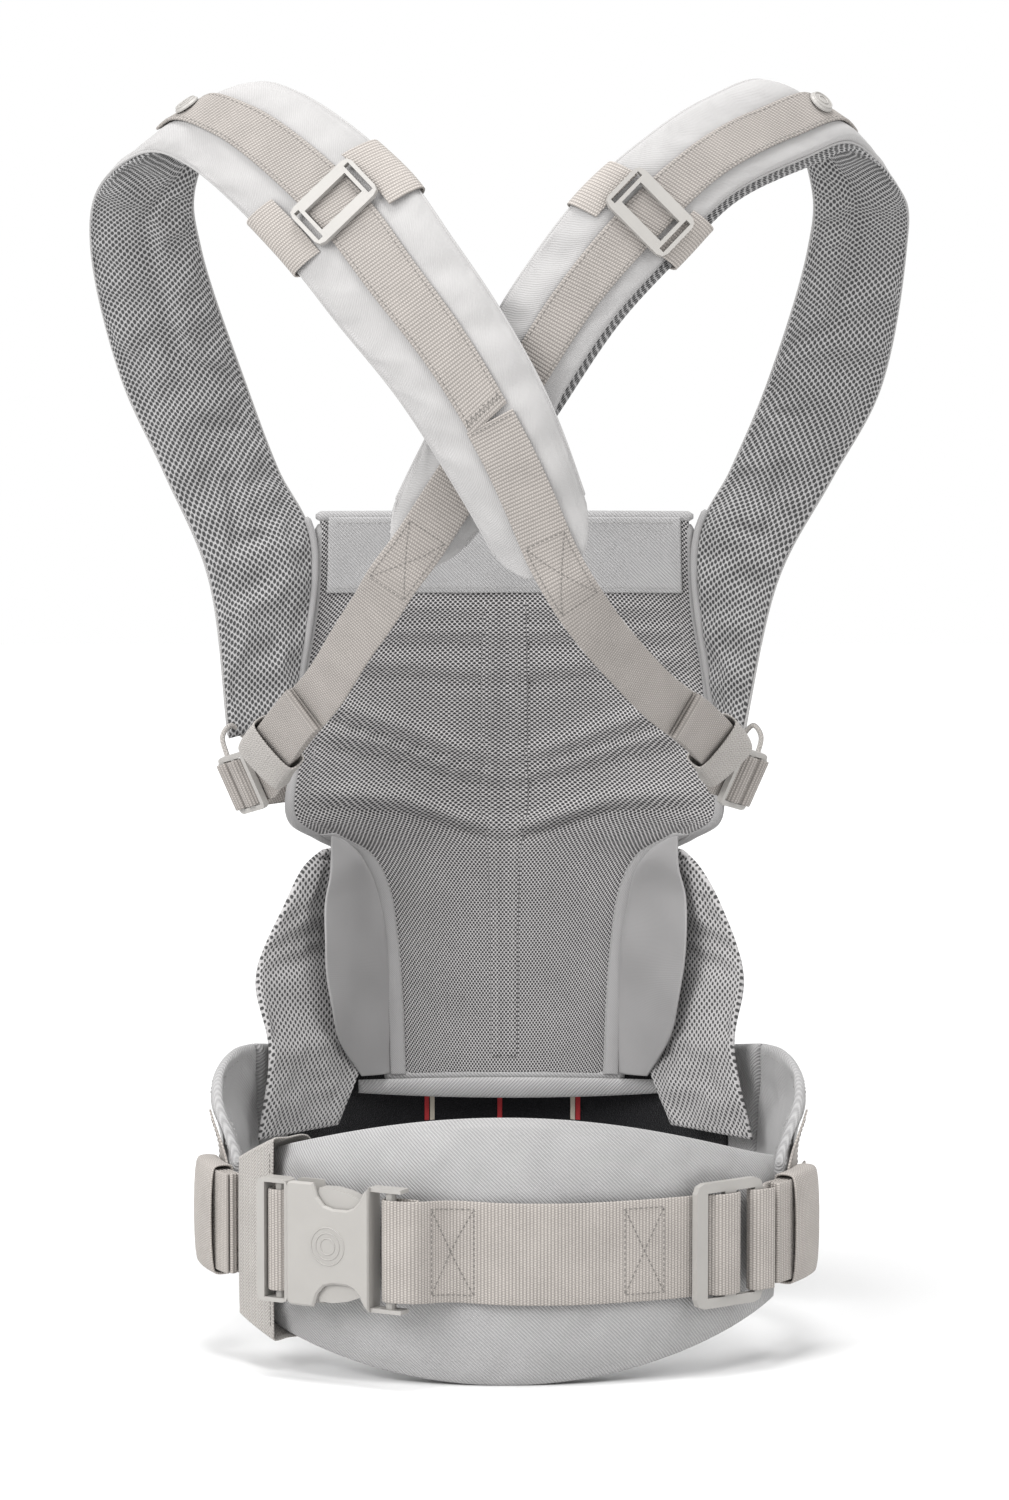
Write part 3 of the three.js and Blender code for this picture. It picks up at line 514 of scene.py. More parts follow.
class Cloth:
    """A closed soft form between two offsets of a surface, with rounded edges."""

    def __init__(self, name, surface, low, high, look, body="carrier", step=4.0, edge=None, across=None):
        probe = np.linspace(0, 1, 65)
        half = np.full(65, 0.5)
        length = np.linalg.norm(np.diff(surface(probe, half), axis=0), axis=1).sum()
        width = np.linalg.norm(np.diff(surface(half, probe), axis=0), axis=1).sum()
        sample = value_of(high, surface(half, half), half, half) - value_of(low, surface(half, half), half, half)
        edge = edge or max(0.3, float(sample[0]) / 2)
        u, v = np.meshgrid(lines(length, step, edge), lines(width, across or step, edge))
        points = surface(u, v)
        normal = normals(surface, u, v)
        along = np.zeros_like(u)
        along[:, 1:] = np.cumsum(np.linalg.norm(np.diff(points, axis=1), axis=2), axis=1)
        beside = np.zeros_like(u)
        beside[1:] = np.cumsum(np.linalg.norm(np.diff(points, axis=0), axis=2), axis=0)
        round_u = np.minimum(np.minimum(along, along[:, -1:] - along) / edge, 1)
        round_v = np.minimum(np.minimum(beside, beside[-1:] - beside) / edge, 1)
        profile = np.sqrt(1 - (1 - round_u) ** 2) * np.sqrt(1 - (1 - round_v) ** 2)
        floor, roof = value_of(low, points, u, v), value_of(high, points, u, v)
        middle, thick = (floor + roof) / 2, (roof - floor) / 2 * profile
        upper = points + normal * (middle + thick)[..., None]
        lower = points + normal * (middle - thick)[..., None]
        rows, columns = u.shape
        top = np.arange(rows * columns).reshape(rows, columns)
        bottom = top.copy()
        bottom[1:-1, 1:-1] = top.size + np.arange((rows - 2) * (columns - 2)).reshape(rows - 2, columns - 2)
        inner = (slice(1, -1), slice(1, -1))
        verts = np.concatenate([upper.reshape(-1, 3), lower[inner].reshape(-1, 3)])
        place = np.stack([np.broadcast_to(along[rows // 2], u.shape), beside - beside[-1:] / 2,
                          np.zeros_like(u)], axis=-1)
        weave = np.concatenate([place.reshape(-1, 3), place[inner].reshape(-1, 3)])
        face = lambda grid, order: np.stack([grid[:-1, :-1], grid[:-1, 1:], grid[1:, 1:], grid[1:, :-1]],
                                            axis=-1)[..., order].reshape(-1, 4)
        faces = np.concatenate([face(top, [0, 1, 2, 3]), face(bottom, [0, 3, 2, 1])]).tolist()
        self.item = add_piece(name, verts, faces, look, body, weave)
        self.surface = surface
        self.body = body
        grid = lambda values: np.concatenate([values.ravel(), values[inner].ravel()])
        self.u, self.v = grid(u), grid(v)
        self.points = np.concatenate([points.reshape(-1, 3), points[inner].reshape(-1, 3)])
        self.rim = grid(np.minimum(round_u, round_v)) < 0.99
        self.upper = np.arange(len(verts)) < top.size
        self.normal = np.concatenate([normal.reshape(-1, 3), normal[inner].reshape(-1, 3)])
        self.tree = None

    def coords(self):
        flat = np.empty(len(self.item.data.vertices) * 3)
        self.item.data.vertices.foreach_get("co", flat)
        return flat.reshape(-1, 3) / MM

    def move(self, points):
        self.item.data.vertices.foreach_set("co", (np.asarray(points) * MM).ravel())
        self.item.data.update()
        self.tree = None

    def inflate(self, held=None, pressure=4.0, cap=6.0, grow=0.02, frames=20, stiff=12.0):
        """Swells the form under pressure, held at its edges and seams, with a little spare cloth."""
        item = self.item
        start = self.coords()
        pinned = self.rim if held is None else (self.rim | held)
        group = item.vertex_groups.new(name="held")
        group.add(np.nonzero(pinned)[0].tolist(), 1.0, "REPLACE")
        cloth = item.modifiers.new("cloth", "CLOTH")
        cloth.settings.quality = 4
        cloth.settings.mass = 0.2
        cloth.settings.tension_stiffness = stiff
        cloth.settings.compression_stiffness = stiff
        cloth.settings.shear_stiffness = stiff / 2
        cloth.settings.bending_stiffness = 0.3
        cloth.settings.air_damping = 3
        cloth.settings.use_pressure = True
        cloth.settings.uniform_pressure_force = pressure
        cloth.settings.shrink_min = -grow
        cloth.settings.vertex_group_mass = "held"
        cloth.settings.effector_weights.gravity = 0
        cloth.point_cache.frame_start = 1
        cloth.point_cache.frame_end = frames
        for number in range(1, frames + 1):
            scene.frame_set(number)
        graph = bpy.context.evaluated_depsgraph_get()
        shaped = item.evaluated_get(graph).data
        flat = np.empty(len(shaped.vertices) * 3)
        shaped.vertices.foreach_get("co", flat)
        item.modifiers.remove(cloth)
        item.vertex_groups.remove(group)
        scene.frame_set(1)
        moved = flat.reshape(-1, 3) / MM - start
        reach = np.linalg.norm(moved, axis=1, keepdims=True)
        moved *= np.minimum(1, cap / np.maximum(reach, 1e-6))
        moved[pinned] = 0
        self.move(start + moved)
        return self

    def smooth(self):
        finer = self.item.modifiers.new("finer", "SUBSURF")
        finer.levels = 1
        finer.render_levels = 1
        return self

    def stand_for(self, *nodes):
        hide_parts(*nodes)
        return self

    def on_top(self, u, v, lift=0.0, under=False):
        """Points on the finished form over places on its surface, with the surface's normals."""
        if self.tree is None:
            mesh = self.item.data
            self.tree = BVHTree.FromPolygons([p.co[:] for p in mesh.vertices],
                                             [tuple(p.vertices) for p in mesh.polygons])
        u, v = np.asarray(u, float), np.asarray(v, float)
        base = self.surface(u, v)
        out = normals(self.surface, u, v) * (-1 if under else 1)
        found = []
        for point, normal in zip(base, out):
            hit = self.tree.ray_cast(Vector((point + normal * 25) * MM), Vector(-normal))[0]
            place = np.array(hit) / MM if hit is not None else point
            found.append(place + normal * lift)
        return np.array(found), out


def stitch_line(points, normal, pitch=3.2, size=2.3, radius=0.28):
    """Small rounded stitches along a path of points; returns points, faces and weave places."""
    steps = np.linalg.norm(np.diff(points, axis=0), axis=1)
    reach = np.concatenate([[0], np.cumsum(steps)])
    count = max(1, int(reach[-1] / pitch))
    middle = (np.arange(count) + 0.5) * reach[-1] / count
    sample = lambda s, values: np.stack([np.interp(s, reach, values[:, k]) for k in range(3)], axis=-1)
    centre = sample(middle, points)
    along = unit(sample(np.minimum(middle + 0.4, reach[-1]), points)
                 - sample(np.maximum(middle - 0.4, 0), points))
    up = unit(sample(middle, normal))
    side = unit(np.cross(along, up))
    verts, faces, weave = [], [], []
    rings = [(-0.5, 0.0), (-0.36, 0.8), (0.0, 1.0), (0.36, 0.8), (0.5, 0.0)]
    for k in range(count):
        base = len(verts)
        for place, share in rings:
            spin = [0] if share == 0 else range(5)
            for turn in spin:
                angle = 2 * math.pi * turn / 5
                verts.append(centre[k] + along[k] * place * size
                             + (side[k] * math.cos(angle) + up[k] * math.sin(angle)) * radius * share)
                weave.append((place * size, turn * 0.3, 0))
        first, last = base, base + 16
        for turn in range(5):
            following = (turn + 1) % 5
            faces.append((first, base + 1 + following, base + 1 + turn))
            faces.append((last, base + 11 + turn, base + 11 + following))
            for ring in (1, 6):
                faces.append((base + ring + turn, base + ring + following,
                              base + ring + 5 + following, base + ring + 5 + turn))
    return verts, faces, weave


class Stitches:
    """Collects stitched paths into one mesh piece."""

    def __init__(self, name, look="thread", body="carrier"):
        self.name, self.look, self.body = name, look, body
        self.verts, self.faces, self.weave = [], [], []

    def along(self, cloth, route, lift=0.05, under=False, **sizes):
        """Stitches over a cloth form along a polyline of (u, v) places."""
        route = np.array(route, float)
        u = np.concatenate([np.linspace(a, b, 24) for a, b in zip(route[:-1, 0], route[1:, 0])])
        v = np.concatenate([np.linspace(a, b, 24) for a, b in zip(route[:-1, 1], route[1:, 1])])
        points, normal = cloth.on_top(u, v, lift, under)
        return self.path(points, normal, **sizes)

    def path(self, points, normal, **sizes):
        verts, faces, weave = stitch_line(points, normal, **sizes)
        shift = len(self.verts)
        self.verts += verts
        self.faces += [tuple(k + shift for k in face) for face in faces]
        self.weave += weave
        return self

    def build(self):
        return add_piece(self.name, self.verts, self.faces, self.look, self.body, self.weave)


def tube(name, points, radius, look, body="carrier", sides=10, flat=1.0, up=None):
    """A rounded cord along points, closed at both ends; flat squeezes it across the up direction."""
    points = np.asarray(points, float)
    along = unit(np.gradient(points, axis=0))
    reach = np.concatenate([[0], np.cumsum(np.linalg.norm(np.diff(points, axis=0), axis=1))])
    guide = np.array((0, 0, 1) if up is None else up, float)
    normal = np.broadcast_to(guide, points.shape) if guide.ndim == 1 else guide
    side = unit(np.cross(along, normal))
    normal = np.cross(side, along)
    angles = 2 * np.pi * np.arange(sides) / sides
    verts, weave = [], []
    stops = [(0, -0.9, 0.45)] + [(k, 0, 1) for k in range(len(points))] + [(len(points) - 1, 0.9, 0.45)]
    for k, push, share in stops:
        centre = points[k] + along[k] * push * radius
        for angle in angles:
            verts.append(centre + (side[k] * math.cos(angle) + normal[k] * math.sin(angle) * flat)
                         * radius * share)
            weave.append((reach[k] + push * radius, angle * radius, 0))
    faces = []
    for ring in range(len(stops) - 1):
        for k in range(sides):
            a, b = ring * sides + k, ring * sides + (k + 1) % sides
            faces.append((a, b, b + sides, a + sides))
    faces.append(tuple(range(sides))[::-1])
    faces.append(tuple(range((len(stops) - 1) * sides, len(stops) * sides)))
    return add_piece(name, verts, faces, look, body, weave)


# ---------------------------------------------------------------- waist loop

WEB = 1.5
BUCKLE_RISE = 3


def waist_point(turn, offset, z):
    angle = np.radians(np.asarray(turn, float))
    sine, cosine = np.sin(angle), np.cos(angle)
    reach = np.where(sine > 0, 151, 147)
    depth = np.where(cosine > 0, 128, 147)
    outward = unit(np.stack([sine / reach, -cosine / depth, np.zeros_like(sine)], axis=-1))
    height = np.broadcast_to(np.asarray(z, float), sine.shape)
    return np.stack([reach * sine, -depth * cosine, height], axis=-1) + outward * np.asarray(offset)[..., None]


def waist_surface(start, end, offset, low, high):
    def at(u, v):
        turn = lerp(start, end, np.asarray(u, float))
        return waist_point(turn, offset, lerp(low(turn), high(turn), v))
    return at


def level(z):
    return lambda turn: np.full(np.shape(turn), float(z))


def crown(height, slope):
    return lambda turn: height - slope * waist_point(turn, 0, 0)[..., 0] ** 2


def smoothstep(value, low, high):
    share = np.clip((value - low) / (high - low), 0, 1)
    return share * share * (3 - 2 * share)


def build_lumbar():
    corner = lambda turn: 9 * np.maximum(0, (-turn - 52) / 10) ** 2
    top = lambda turn: crown(66, 0.00158)(turn) - corner(turn)
    bottom = lambda turn: crown(-66, -0.0014)(turn) + corner(turn)
    bulge = lambda u, v: 0.3 + 0.7 * np.minimum(1, 5 * v * (1 - v)) * np.minimum(1, 12 * u * (1 - u))
    pad = Cloth("lumbar_cover", waist_surface(-62, 71, -10.5, bottom, top),
                lambda p, u, v: -7.5 * bulge(u, v) + 2.3,
                lambda p, u, v: 6.6 * bulge(u, v) + 0.5 * ripple(p, 70, 2) * bulge(u, v), "weave",
                step=4.5, edge=4.5)
    webbed = pad.upper & (np.abs(pad.points[:, 2]) < 26)
    pad.inflate(held=webbed, pressure=3, cap=2.6, grow=0.012).smooth().stand_for("lumbar_pad")
    inset = lambda rim, margin: (lambda turn: rim(turn) + margin)
    lining = Cloth("lumbar_mesh", waist_surface(-61, 70, -19.4, inset(bottom, 3), inset(top, -3)),
                   lambda p, u, v: -1.5 + 0.3 * ripple(p, 40, 1), lambda p, u, v: 0.8, "coarse_mesh", step=7)
    lining.stand_for("lumbar_lining")


def build_belt():
    def belt(u, v):
        turn = lerp(112, 248, np.asarray(u, float))
        near = np.where(turn > 180, 360 - turn, turn)
        share = np.sin((near - 112) / 68 * math.pi / 2)
        return waist_point(turn, -9, lerp(lerp(-28, -50, share), lerp(76, 60, share), v))
    front = Cloth("belt_cover", belt, lambda p, u, v: -4.6 + 0 * u,
                  lambda p, u, v: 4.2 + 0.4 * ripple(p, 60, 3), "weave", step=6, edge=4)
    front.inflate(pressure=3, cap=1.5, grow=0.012).smooth().stand_for("belt_front")
    seam = Stitches("belt_stitches")
    for v in (0.06, 0.94):
        seam.along(front, [(k / 12, v) for k in range(13)], pitch=3.2)
    for u in (0.03, 0.05, 0.95, 0.97):
        seam.along(front, [(u, 0.05), (u, 0.95)], pitch=3.2)
    seam.build()
    band = Cloth("hook_tape", waist_surface(122, 238, -15.6, level(-20), level(57)),
                 -0.6, lambda p, u, v: 0.5 + 0.1 * ripple(p, 20, 4), "hook", step=3.5)
    band.stand_for("belt_hook_band")
    for k, (turn, look) in enumerate([(198.2, "red"), (196.9, "cream"), (181.1, "red"),
                                      (164.6, "cream"), (163.4, "red")]):
        mark = Cloth(f"size_mark_{k}", waist_surface(turn - 0.55, turn + 0.55, -16.2, level(24), level(50)),
                     -0.9, -0.25, look, step=1.5)


def flare(turn, z):
    return 6 * np.minimum(1, (112 - np.abs(turn)) / 20) * smoothstep(z, 30, 58)


def build_wings():
    top = curve([(112, 76, 0), (104, 76, 0), (95, 70, 0), (86, 58, 0), (79, 40, 0), (74, 29, 0)])
    low = curve([(112, -28, 0), (104, -27, 0), (95, -25, 0), (86, -24, 0), (79, -23, 0), (74, -22, 0)])
    for name, side in SIDES.items():
        def wing(u, v):
            upper, lower = top(u), low(u)
            turn = lerp(lower[..., 0], upper[..., 0], v) - 0.4
            z = lerp(lower[..., 1], upper[..., 1], v)
            return waist_point(side * turn, -9 + flare(turn, z), z)
        half = lambda u, v: 2.4 + 0.9 * np.minimum(1, 5 * v * (1 - v))
        cover = Cloth(f"wing_cover_{name}", wing, lambda p, u, v: -half(u, v),
                      lambda p, u, v: half(u, v) + 0.35 * ripple(p, 32, 5 + side), "weave", step=4, edge=2.2)
        cover.inflate(pressure=3, cap=1.2, grow=0.02).smooth().stand_for(f"belt_wing_{name}")
        seam = Stitches(f"wing_stitches_{name}")
        under = side > 0
        seam.along(cover, [(0.02, 0.95), (0.5, 0.95), (0.97, 0.93)], under=under)
        seam.along(cover, [(0.02, 0.95), (0.5, 0.95), (0.97, 0.93)], under=not under)
        seam.build()

        def tip(u, v):
            turn = lerp(74, 86, np.asarray(u, float))
            z = lerp(-20, lerp(26, 52, u), v)
            return waist_point(side * turn, flare(turn, z) - 4.1, z)
        patch = Cloth(f"wing_patch_{name}", tip, -0.55, 0.55, "webbing", step=3)
        patch.stand_for(f"wing_tip_{name}")
        seam = Stitches(f"patch_stitches_{name}", "dark_thread")
        seam.along(patch, [(0.06, 0.95), (0.95, 0.95), (0.95, 0.1)], under=side < 0, pitch=2.6, size=1.8)
        seam.build()


# ---------------------------------------------------------------- waist hardware


def seat_point(x, y, z, turn):
    cosine, sine = math.cos(math.radians(turn)), math.sin(math.radians(turn))
    return lambda p: (x + p[0] * cosine - p[1] * sine, y + p[0] * sine + p[1] * cosine, z)


buckle_point = seat_point(-80, -116.5, BUCKLE_RISE, -29)
triglide_point = seat_point(109, -94.5, 0, 38)


def x_box(seam, cloth, u0, u1, v0, v1, **sizes):
    """A sewn rectangle with both diagonals."""
    seam.along(cloth, [(u0, v0), (u1, v0), (u1, v1), (u0, v1), (u0, v0)], **sizes)
    seam.along(cloth, [(u0, v0), (u1, v1)], **sizes)
    seam.along(cloth, [(u0, v1), (u1, v0)], **sizes)


def share_at(surface, test, samples=600):
    """The place along a route where test(points) is smallest."""
    u = np.linspace(0, 1, samples)
    return float(u[np.argmin(test(surface(u, np.full(samples, 0.5))))])


def build_waist_webbing():
    around = lambda turn, z=0.0: tuple(waist_point(turn, 0.0, z))
    lumbar = [buckle_point(p) for p in (
        (42, 4.1), (35, 4.2), (29, 3.7), (25.6, 1.6), (25.3, -1.2), (28, -3.7), (35, -3.2), (42, -0.8))]
    lumbar += [around(-10, 1.6), around(0, 0.6), around(12), around(24)]
    lumbar += [triglide_point(p) for p in (
        (-24, 4.4), (-16, 3.6), (-11, 1), (-7, -2.4), (-2, -3.6), (3, -3.4), (6.4, -0.6), (5, 2.6), (0, 3.6))]
    back = Cloth("waist_strap_back", wall(lumbar, 50), -WEB / 2, WEB / 2, "webbing", body=None,
                 step=1.6, across=4)
    back.stand_for("lumbar_webbing")
    seam = Stitches("waist_box_stitches", "dark_thread")
    place = lambda x: share_at(back.surface, lambda p: np.abs(p[:, 0] - x) + 40 * (p[:, 1] > -100)
                               + 100 * (p[:, 0] < -46.5))
    for x0, x1 in ((-36, -14.5), (58, 77)):
        x_box(seam, back, place(x0), place(x1), 0.08, 0.92, pitch=2.7, size=1.9, radius=0.3)
    seam.build()
    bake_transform(back.item)

    left = [buckle_point(p) for p in (
        (-33.2, 4.4), (-30.3, 2.8), (-29.4, 0), (-30.3, -2.8), (-33.2, -3.9), (-36.6, -3.5),
        (-38.7, -1.2), (-39.1, 2.2), (-39.1, 5.2), (-39.4, 8.6))]
    left += [around(turn, BUCKLE_RISE) for turn in (-49, -54, -60, -66, -76, -88)]
    strap = Cloth("waist_strap_left", wall(left, 50), -WEB / 2, WEB / 2, "webbing", body=None,
                  step=1.6, across=4)
    strap.stand_for("waist_webbing_left")
    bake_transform(strap.item)

    right = [triglide_point(p) for p in (
        (27, -3.6), (22, -3.9), (17, -3.7), (14, -1.2), (15, 2.4), (19, 3.6), (25, 3.4))]
    right += [around(turn) for turn in (58, 66, 76, 88)]
    strap = Cloth("waist_strap_right", wall(right, 50), -WEB / 2, WEB / 2, "webbing", body=None,
                  step=1.6, across=4)
    strap.stand_for("waist_webbing_right")
    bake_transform(strap.item)


def keeper_path(inside, outside, margin):
    return [(0.3, -inside), (-margin * 0.4, -inside), (-margin, -inside * 0.3), (-margin, outside * 0.8),
            (margin * 0.2, outside), (1 - margin * 0.2, outside), (1 + margin, outside * 0.8),
            (1 + margin, -inside * 0.3), (1 + margin * 0.4, -inside), (0.7, -inside)]


def layers(start, end, inner, outer, count, turn):
    """Stations of a strip folded to and fro between two places, from its inner to its outer layer."""
    path = []
    for k in range(count):
        height = lerp(inner, outer, k / (count - 1))
        first, last = (start, end) if k % 2 == 0 else (end, start)
        inward = turn if first < last else -turn
        path += [(first + inward * 0.5, height), (first + inward * 3, height),
                 ((first + last) / 2, height), (last - inward * 3, height), (last - inward * 0.5, height)]
    return path


def build_waist_tails():
    spans = {"left": ((-81, -63), (-82, -68.5), BUCKLE_RISE), "right": ((59, 78), (64, 77.5), 0)}
    for name, ((start, end), (band_start, band_end), rise) in spans.items():
        loop = waist_surface(start, end, 0.0, level(rise - 25), level(rise + 25))
        roll = Cloth(f"waist_roll_{name}", folded(loop, layers(0, 1, 2.1, 6.2, 3, 0.018)),
                     -0.7, 0.7, "webbing", step=1.3, across=4)
        roll.stand_for(f"waist_tail_{name}")
        share = lambda turn: (turn - start) / (end - start)
        band = wrapped(loop, share(band_start), share(band_end), keeper_path(1.9, 8.2, 0.035))
        keeper = Cloth(f"waist_loop_{name}", band, -0.55, 0.55, "webbing", step=3, across=1.6)
        keeper.stand_for(f"waist_keeper_{name}")


def build_lumbar_band():
    low = lambda turn: lerp(-38.5, -47, (turn + 61.5) / 12)
    high = lambda turn: lerp(34, 46, (turn + 61.5) / 12)
    loop = waist_surface(-61.5, -49.5, 0.0, low, high)
    band = Cloth("lumbar_elastic", wrapped(loop, 0, 1, keeper_path(22.6, 1.8, 0.035)),
                 -0.5, 0.5, "elastic", step=3, across=2)
    band.stand_for("lumbar_band")
    seam = Stitches("lumbar_elastic_stitches", "dark_thread")
    seam.along(band, [(0.93, 0.45), (0.93, 0.5), (0.93, 0.55)], pitch=2.6)
    seam.build()


# ---------------------------------------------------------------- front panel

PANEL_ROWS = [
    (60, 50, 113, 4), (62, 90, 124, 8), (65, 122, 134, 12), (70, 148, 141, 18), (80, 166, 145, 28),
    (98, 178, 146, 46), (110, 188, 146, 58), (107, 222, 141, 42), (104, 257, 131, 23), (97, 298, 121, 11),
    (95, 342, 115, 7),
]
panel_shape = curve([(half, y, z) for half, z, y, back in PANEL_ROWS])
panel_return = curve([(back, 0, z) for half, z, y, back in PANEL_ROWS])


def panel(u, v):
    row = panel_shape(v)
    across = 2 * np.asarray(u, float) - 1
    x = row[..., 0] * across
    y = row[..., 1] - panel_return(v)[..., 0] * across ** 2
    return np.stack([x, y, row[..., 2]], axis=-1)


def panel_part(u0, u1, v0, v1):
    return lambda u, v: panel(lerp(u0, u1, np.asarray(u, float)), lerp(v0, v1, np.asarray(v, float)))


BAND_START = 0.91

# Sewn lines of the panel's mesh, as (distance from the centre line, height).
PANEL_SEAMS = [
    [(0, 287), (95, 288)], [(0, 275), (95, 277)], [(0, 254), (60, 258), (100, 262)],
    [(0, 206), (25, 213), (60, 226), (100, 240)], [(0, 197), (30, 204), (62, 215), (104, 226)],
    [(0, 168), (25, 175), (55, 186), (106, 193)],
]


def panel_relief(points, u, v):
    """Quilted swells between the sewn lines and soft folds over the seat."""
    plane = np.stack([np.abs(points[..., 0]), points[..., 2]], axis=-1)
    depth = 0
    for k, route in enumerate(PANEL_SEAMS):
        distance = away(plane, route)
        depth = depth - 2.4 * np.exp(-(distance / 1.9) ** 2)
        above = away(plane, [(x, z + 7) for x, z in route])
        depth = depth + (3.4 if k > 2 else 1.8) * np.exp(-(above / 4.0) ** 2)
    centre = np.exp(-(points[..., 0] / 14) ** 2)
    edge = np.minimum(1, 8 * np.minimum(u, 1 - u)) * np.minimum(1, 12 * v) * np.minimum(1, 14 * (1 - v))
    rim = np.exp(-((plane[..., 0] - panel_shape(v)[..., 0] + 7) / 2.5) ** 2)
    return (depth * (1 - 0.7 * centre) + 0.8 * ripple(points, 46, 7)) * edge - 0.8 * rim


def build_panel():
    mesh = Cloth("panel_mesh", panel_part(0, 1, 0, 1),
                 lambda p, u, v: 0.25 + 0 * u,
                 lambda p, u, v: 3.2 + np.maximum(panel_relief(p, u, v), -2.2), "fine_mesh", step=3.2, edge=1.4)
    mesh.stand_for("panel_liner")
    def facing_relief(points, u, v):
        inside = np.minimum(1, 10 * u * (1 - u)) * np.minimum(1, 10 * v * (1 - v))
        seam = np.exp(-((v - 0.33 - 0.16 * (u - 0.5) ** 2) / 0.012) ** 2)
        dart = np.exp(-((u - 0.5) / 0.02) ** 2) * (v < 0.33)
        return (0.55 * ripple(points, 48, 9) + 0.9 * seam + 0.6 * dart) * inside
    outer = Cloth("panel_outer", panel_part(0, 1, 0, 1),
                  lambda p, u, v: -2.3 + np.minimum(facing_relief(p, u, v), 1.5), -0.2,
                  "panel_twill", step=4, edge=0.9)
    outer.smooth().stand_for("panel_shell")
    tape = Cloth("centre_tape", panel_part(0.44, 0.56, 0.02, BAND_START - 0.01),
                 lambda p, u, v: 0.6 + 0 * u,
                 lambda p, u, v: 3.9 + np.maximum(panel_relief(p, u, v) * 0.8, -1.6)
                 - 1.6 * np.exp(-((u - 0.5) / 0.07) ** 2), "fine_mesh", step=2.2)
    tape.stand_for("panel_centre_tape")
    band = Cloth("neck_facing", panel_part(0.02, 0.98, BAND_START, 1), 2.6,
                 lambda p, u, v: 5.0 + 0.25 * ripple(p, 40, 3), "weave", step=4, edge=0.9)
    band.stand_for("neck_band")
    for name, side in SIDES.items():
        def edging_lines(u, v, side=side):
            """A strip 8.4 mm wide along the panel's side edge, from the hem to the seat's corner."""
            height = lerp(0.0, 0.5, np.asarray(v, float))
            inset = 4.2 / panel_shape(height)[..., 0]
            start = 1 - inset if side > 0 else 0
            return panel(start + inset * np.asarray(u, float), height)
        edging = Cloth(f"panel_edging_{name}", edging_lines, 2.2,
                       lambda p, u, v: 4.0 + 0.9 * np.sin(np.pi * u), "panel_twill", step=2.1, edge=0.8)
        edging.smooth()
        seam = Stitches(f"edging_stitches_{name}")
        inner = 0.1 if side > 0 else 0.9
        seam.along(edging, [(inner, 0.02), (inner, 0.5), (inner, 0.98)], pitch=3)
        seam.build()
    hem_lines = lambda u, v: np.stack([
        lerp(82, -76, np.asarray(u, float)), 110 - 9 * (2 * np.asarray(u, float) - 1) ** 2,
        lerp(38 + 4 * (2 * np.asarray(u, float) - 1) ** 2, 49, np.asarray(v, float))], axis=-1)
    hem = Cloth("hem_binding", hem_lines, lambda p, u, v: -1.4 - 1.2 * np.sin(np.pi * v),
                lambda p, u, v: 1.4 + 1.4 * np.sin(np.pi * v), "weave", step=2.4, edge=2.0)
    hem.smooth().stand_for("seat_hem")
    facing = Stitches("panel_outer_stitches")
    for u in (0.05, 0.075, 0.925, 0.95):
        facing.along(outer, [(u, 0.03), (u, 0.3), (u, 0.6), (u, 0.97)], under=True, pitch=3)
    for v in (0.33, 0.345):
        facing.along(outer, [(0.06, v + 0.04), (0.3, v), (0.5, v - 0.01), (0.7, v), (0.94, v + 0.04)],
                     under=True, pitch=3)
    facing.along(outer, [(0.5, 0.03), (0.5, 0.32)], under=True, pitch=3)
    facing.build()
    seam = Stitches("panel_stitches")
    for u in (0.466, 0.534):
        seam.along(tape, [((u - 0.44) / 0.12, 0.02), ((u - 0.44) / 0.12, 0.98)], pitch=3)
    seam.along(band, [(0.02, 0.08), (0.5, 0.08), (0.98, 0.08)], pitch=3)
    seam.along(band, [(0.02, 0.93), (0.5, 0.93), (0.98, 0.93)], pitch=3)
    for u in (0.035, 0.965):
        seam.along(mesh, [(u, 0.02), (u, 0.3), (u, 0.6), (u, 0.88)], pitch=3)
    seam.along(hem, [(0.03, 0.2), (0.5, 0.2), (0.97, 0.2)], pitch=3)
    seam.build()
    steps = np.linspace(0.0, 0.985, 120)
    for name, u in (("left", 0.0), ("right", 1.0)):
        rim = panel(np.full(120, u), steps)
        out = normals(panel, np.full(120, u), steps)
        tube(f"panel_binding_{name}", rim + out * 0.5, 2.7, "panel_twill", sides=12, up=out)
    top = np.linspace(0, 1, 80)
    for name, v, lift in (("top", 1.0, 1.2), ("bottom", 0.0, 0.5)):
        rim, out = panel(top, np.full(80, v)), normals(panel, top, np.full(80, v))
        tube(f"panel_binding_{name}", rim + out * lift, 2.8, "weave", sides=12, up=out)


def build_head_flap():
    flap = Cloth("head_rest", panel_part(0.06, 0.94, 0.86, 1),
                 lambda p, u, v: -8.2 + 1.2 * (2 * v - 1) ** 2, lambda p, u, v: -3.4 - 0.6 * (2 * v - 1) ** 2,
                 "panel_twill", body="head_support", step=5, edge=2)
    channel = np.abs(flap.v - 0.5) < 0.04
    flap.inflate(held=channel, pressure=4, cap=1.4, grow=0.02).smooth().stand_for("head_flap")
    seam = Stitches("head_rest_stitches", body="head_support")
    for v in (0.07, 0.47, 0.53, 0.93):
        seam.along(flap, [(0.03, v), (0.5, v), (0.97, v)], under=True, pitch=3)
    seam.build()


THIGH_OUTER = {
    "left": [(-93, 88, 171), (-103, 84, 163), (-113, 74, 144), (-127, 60, 109), (-120, 46, 73), (-125, 26, 30)],
    "right": [(91, 88, 171), (100, 84, 163), (111, 74, 144), (122, 60, 110), (117, 46, 75), (126, 26, 30)],
}


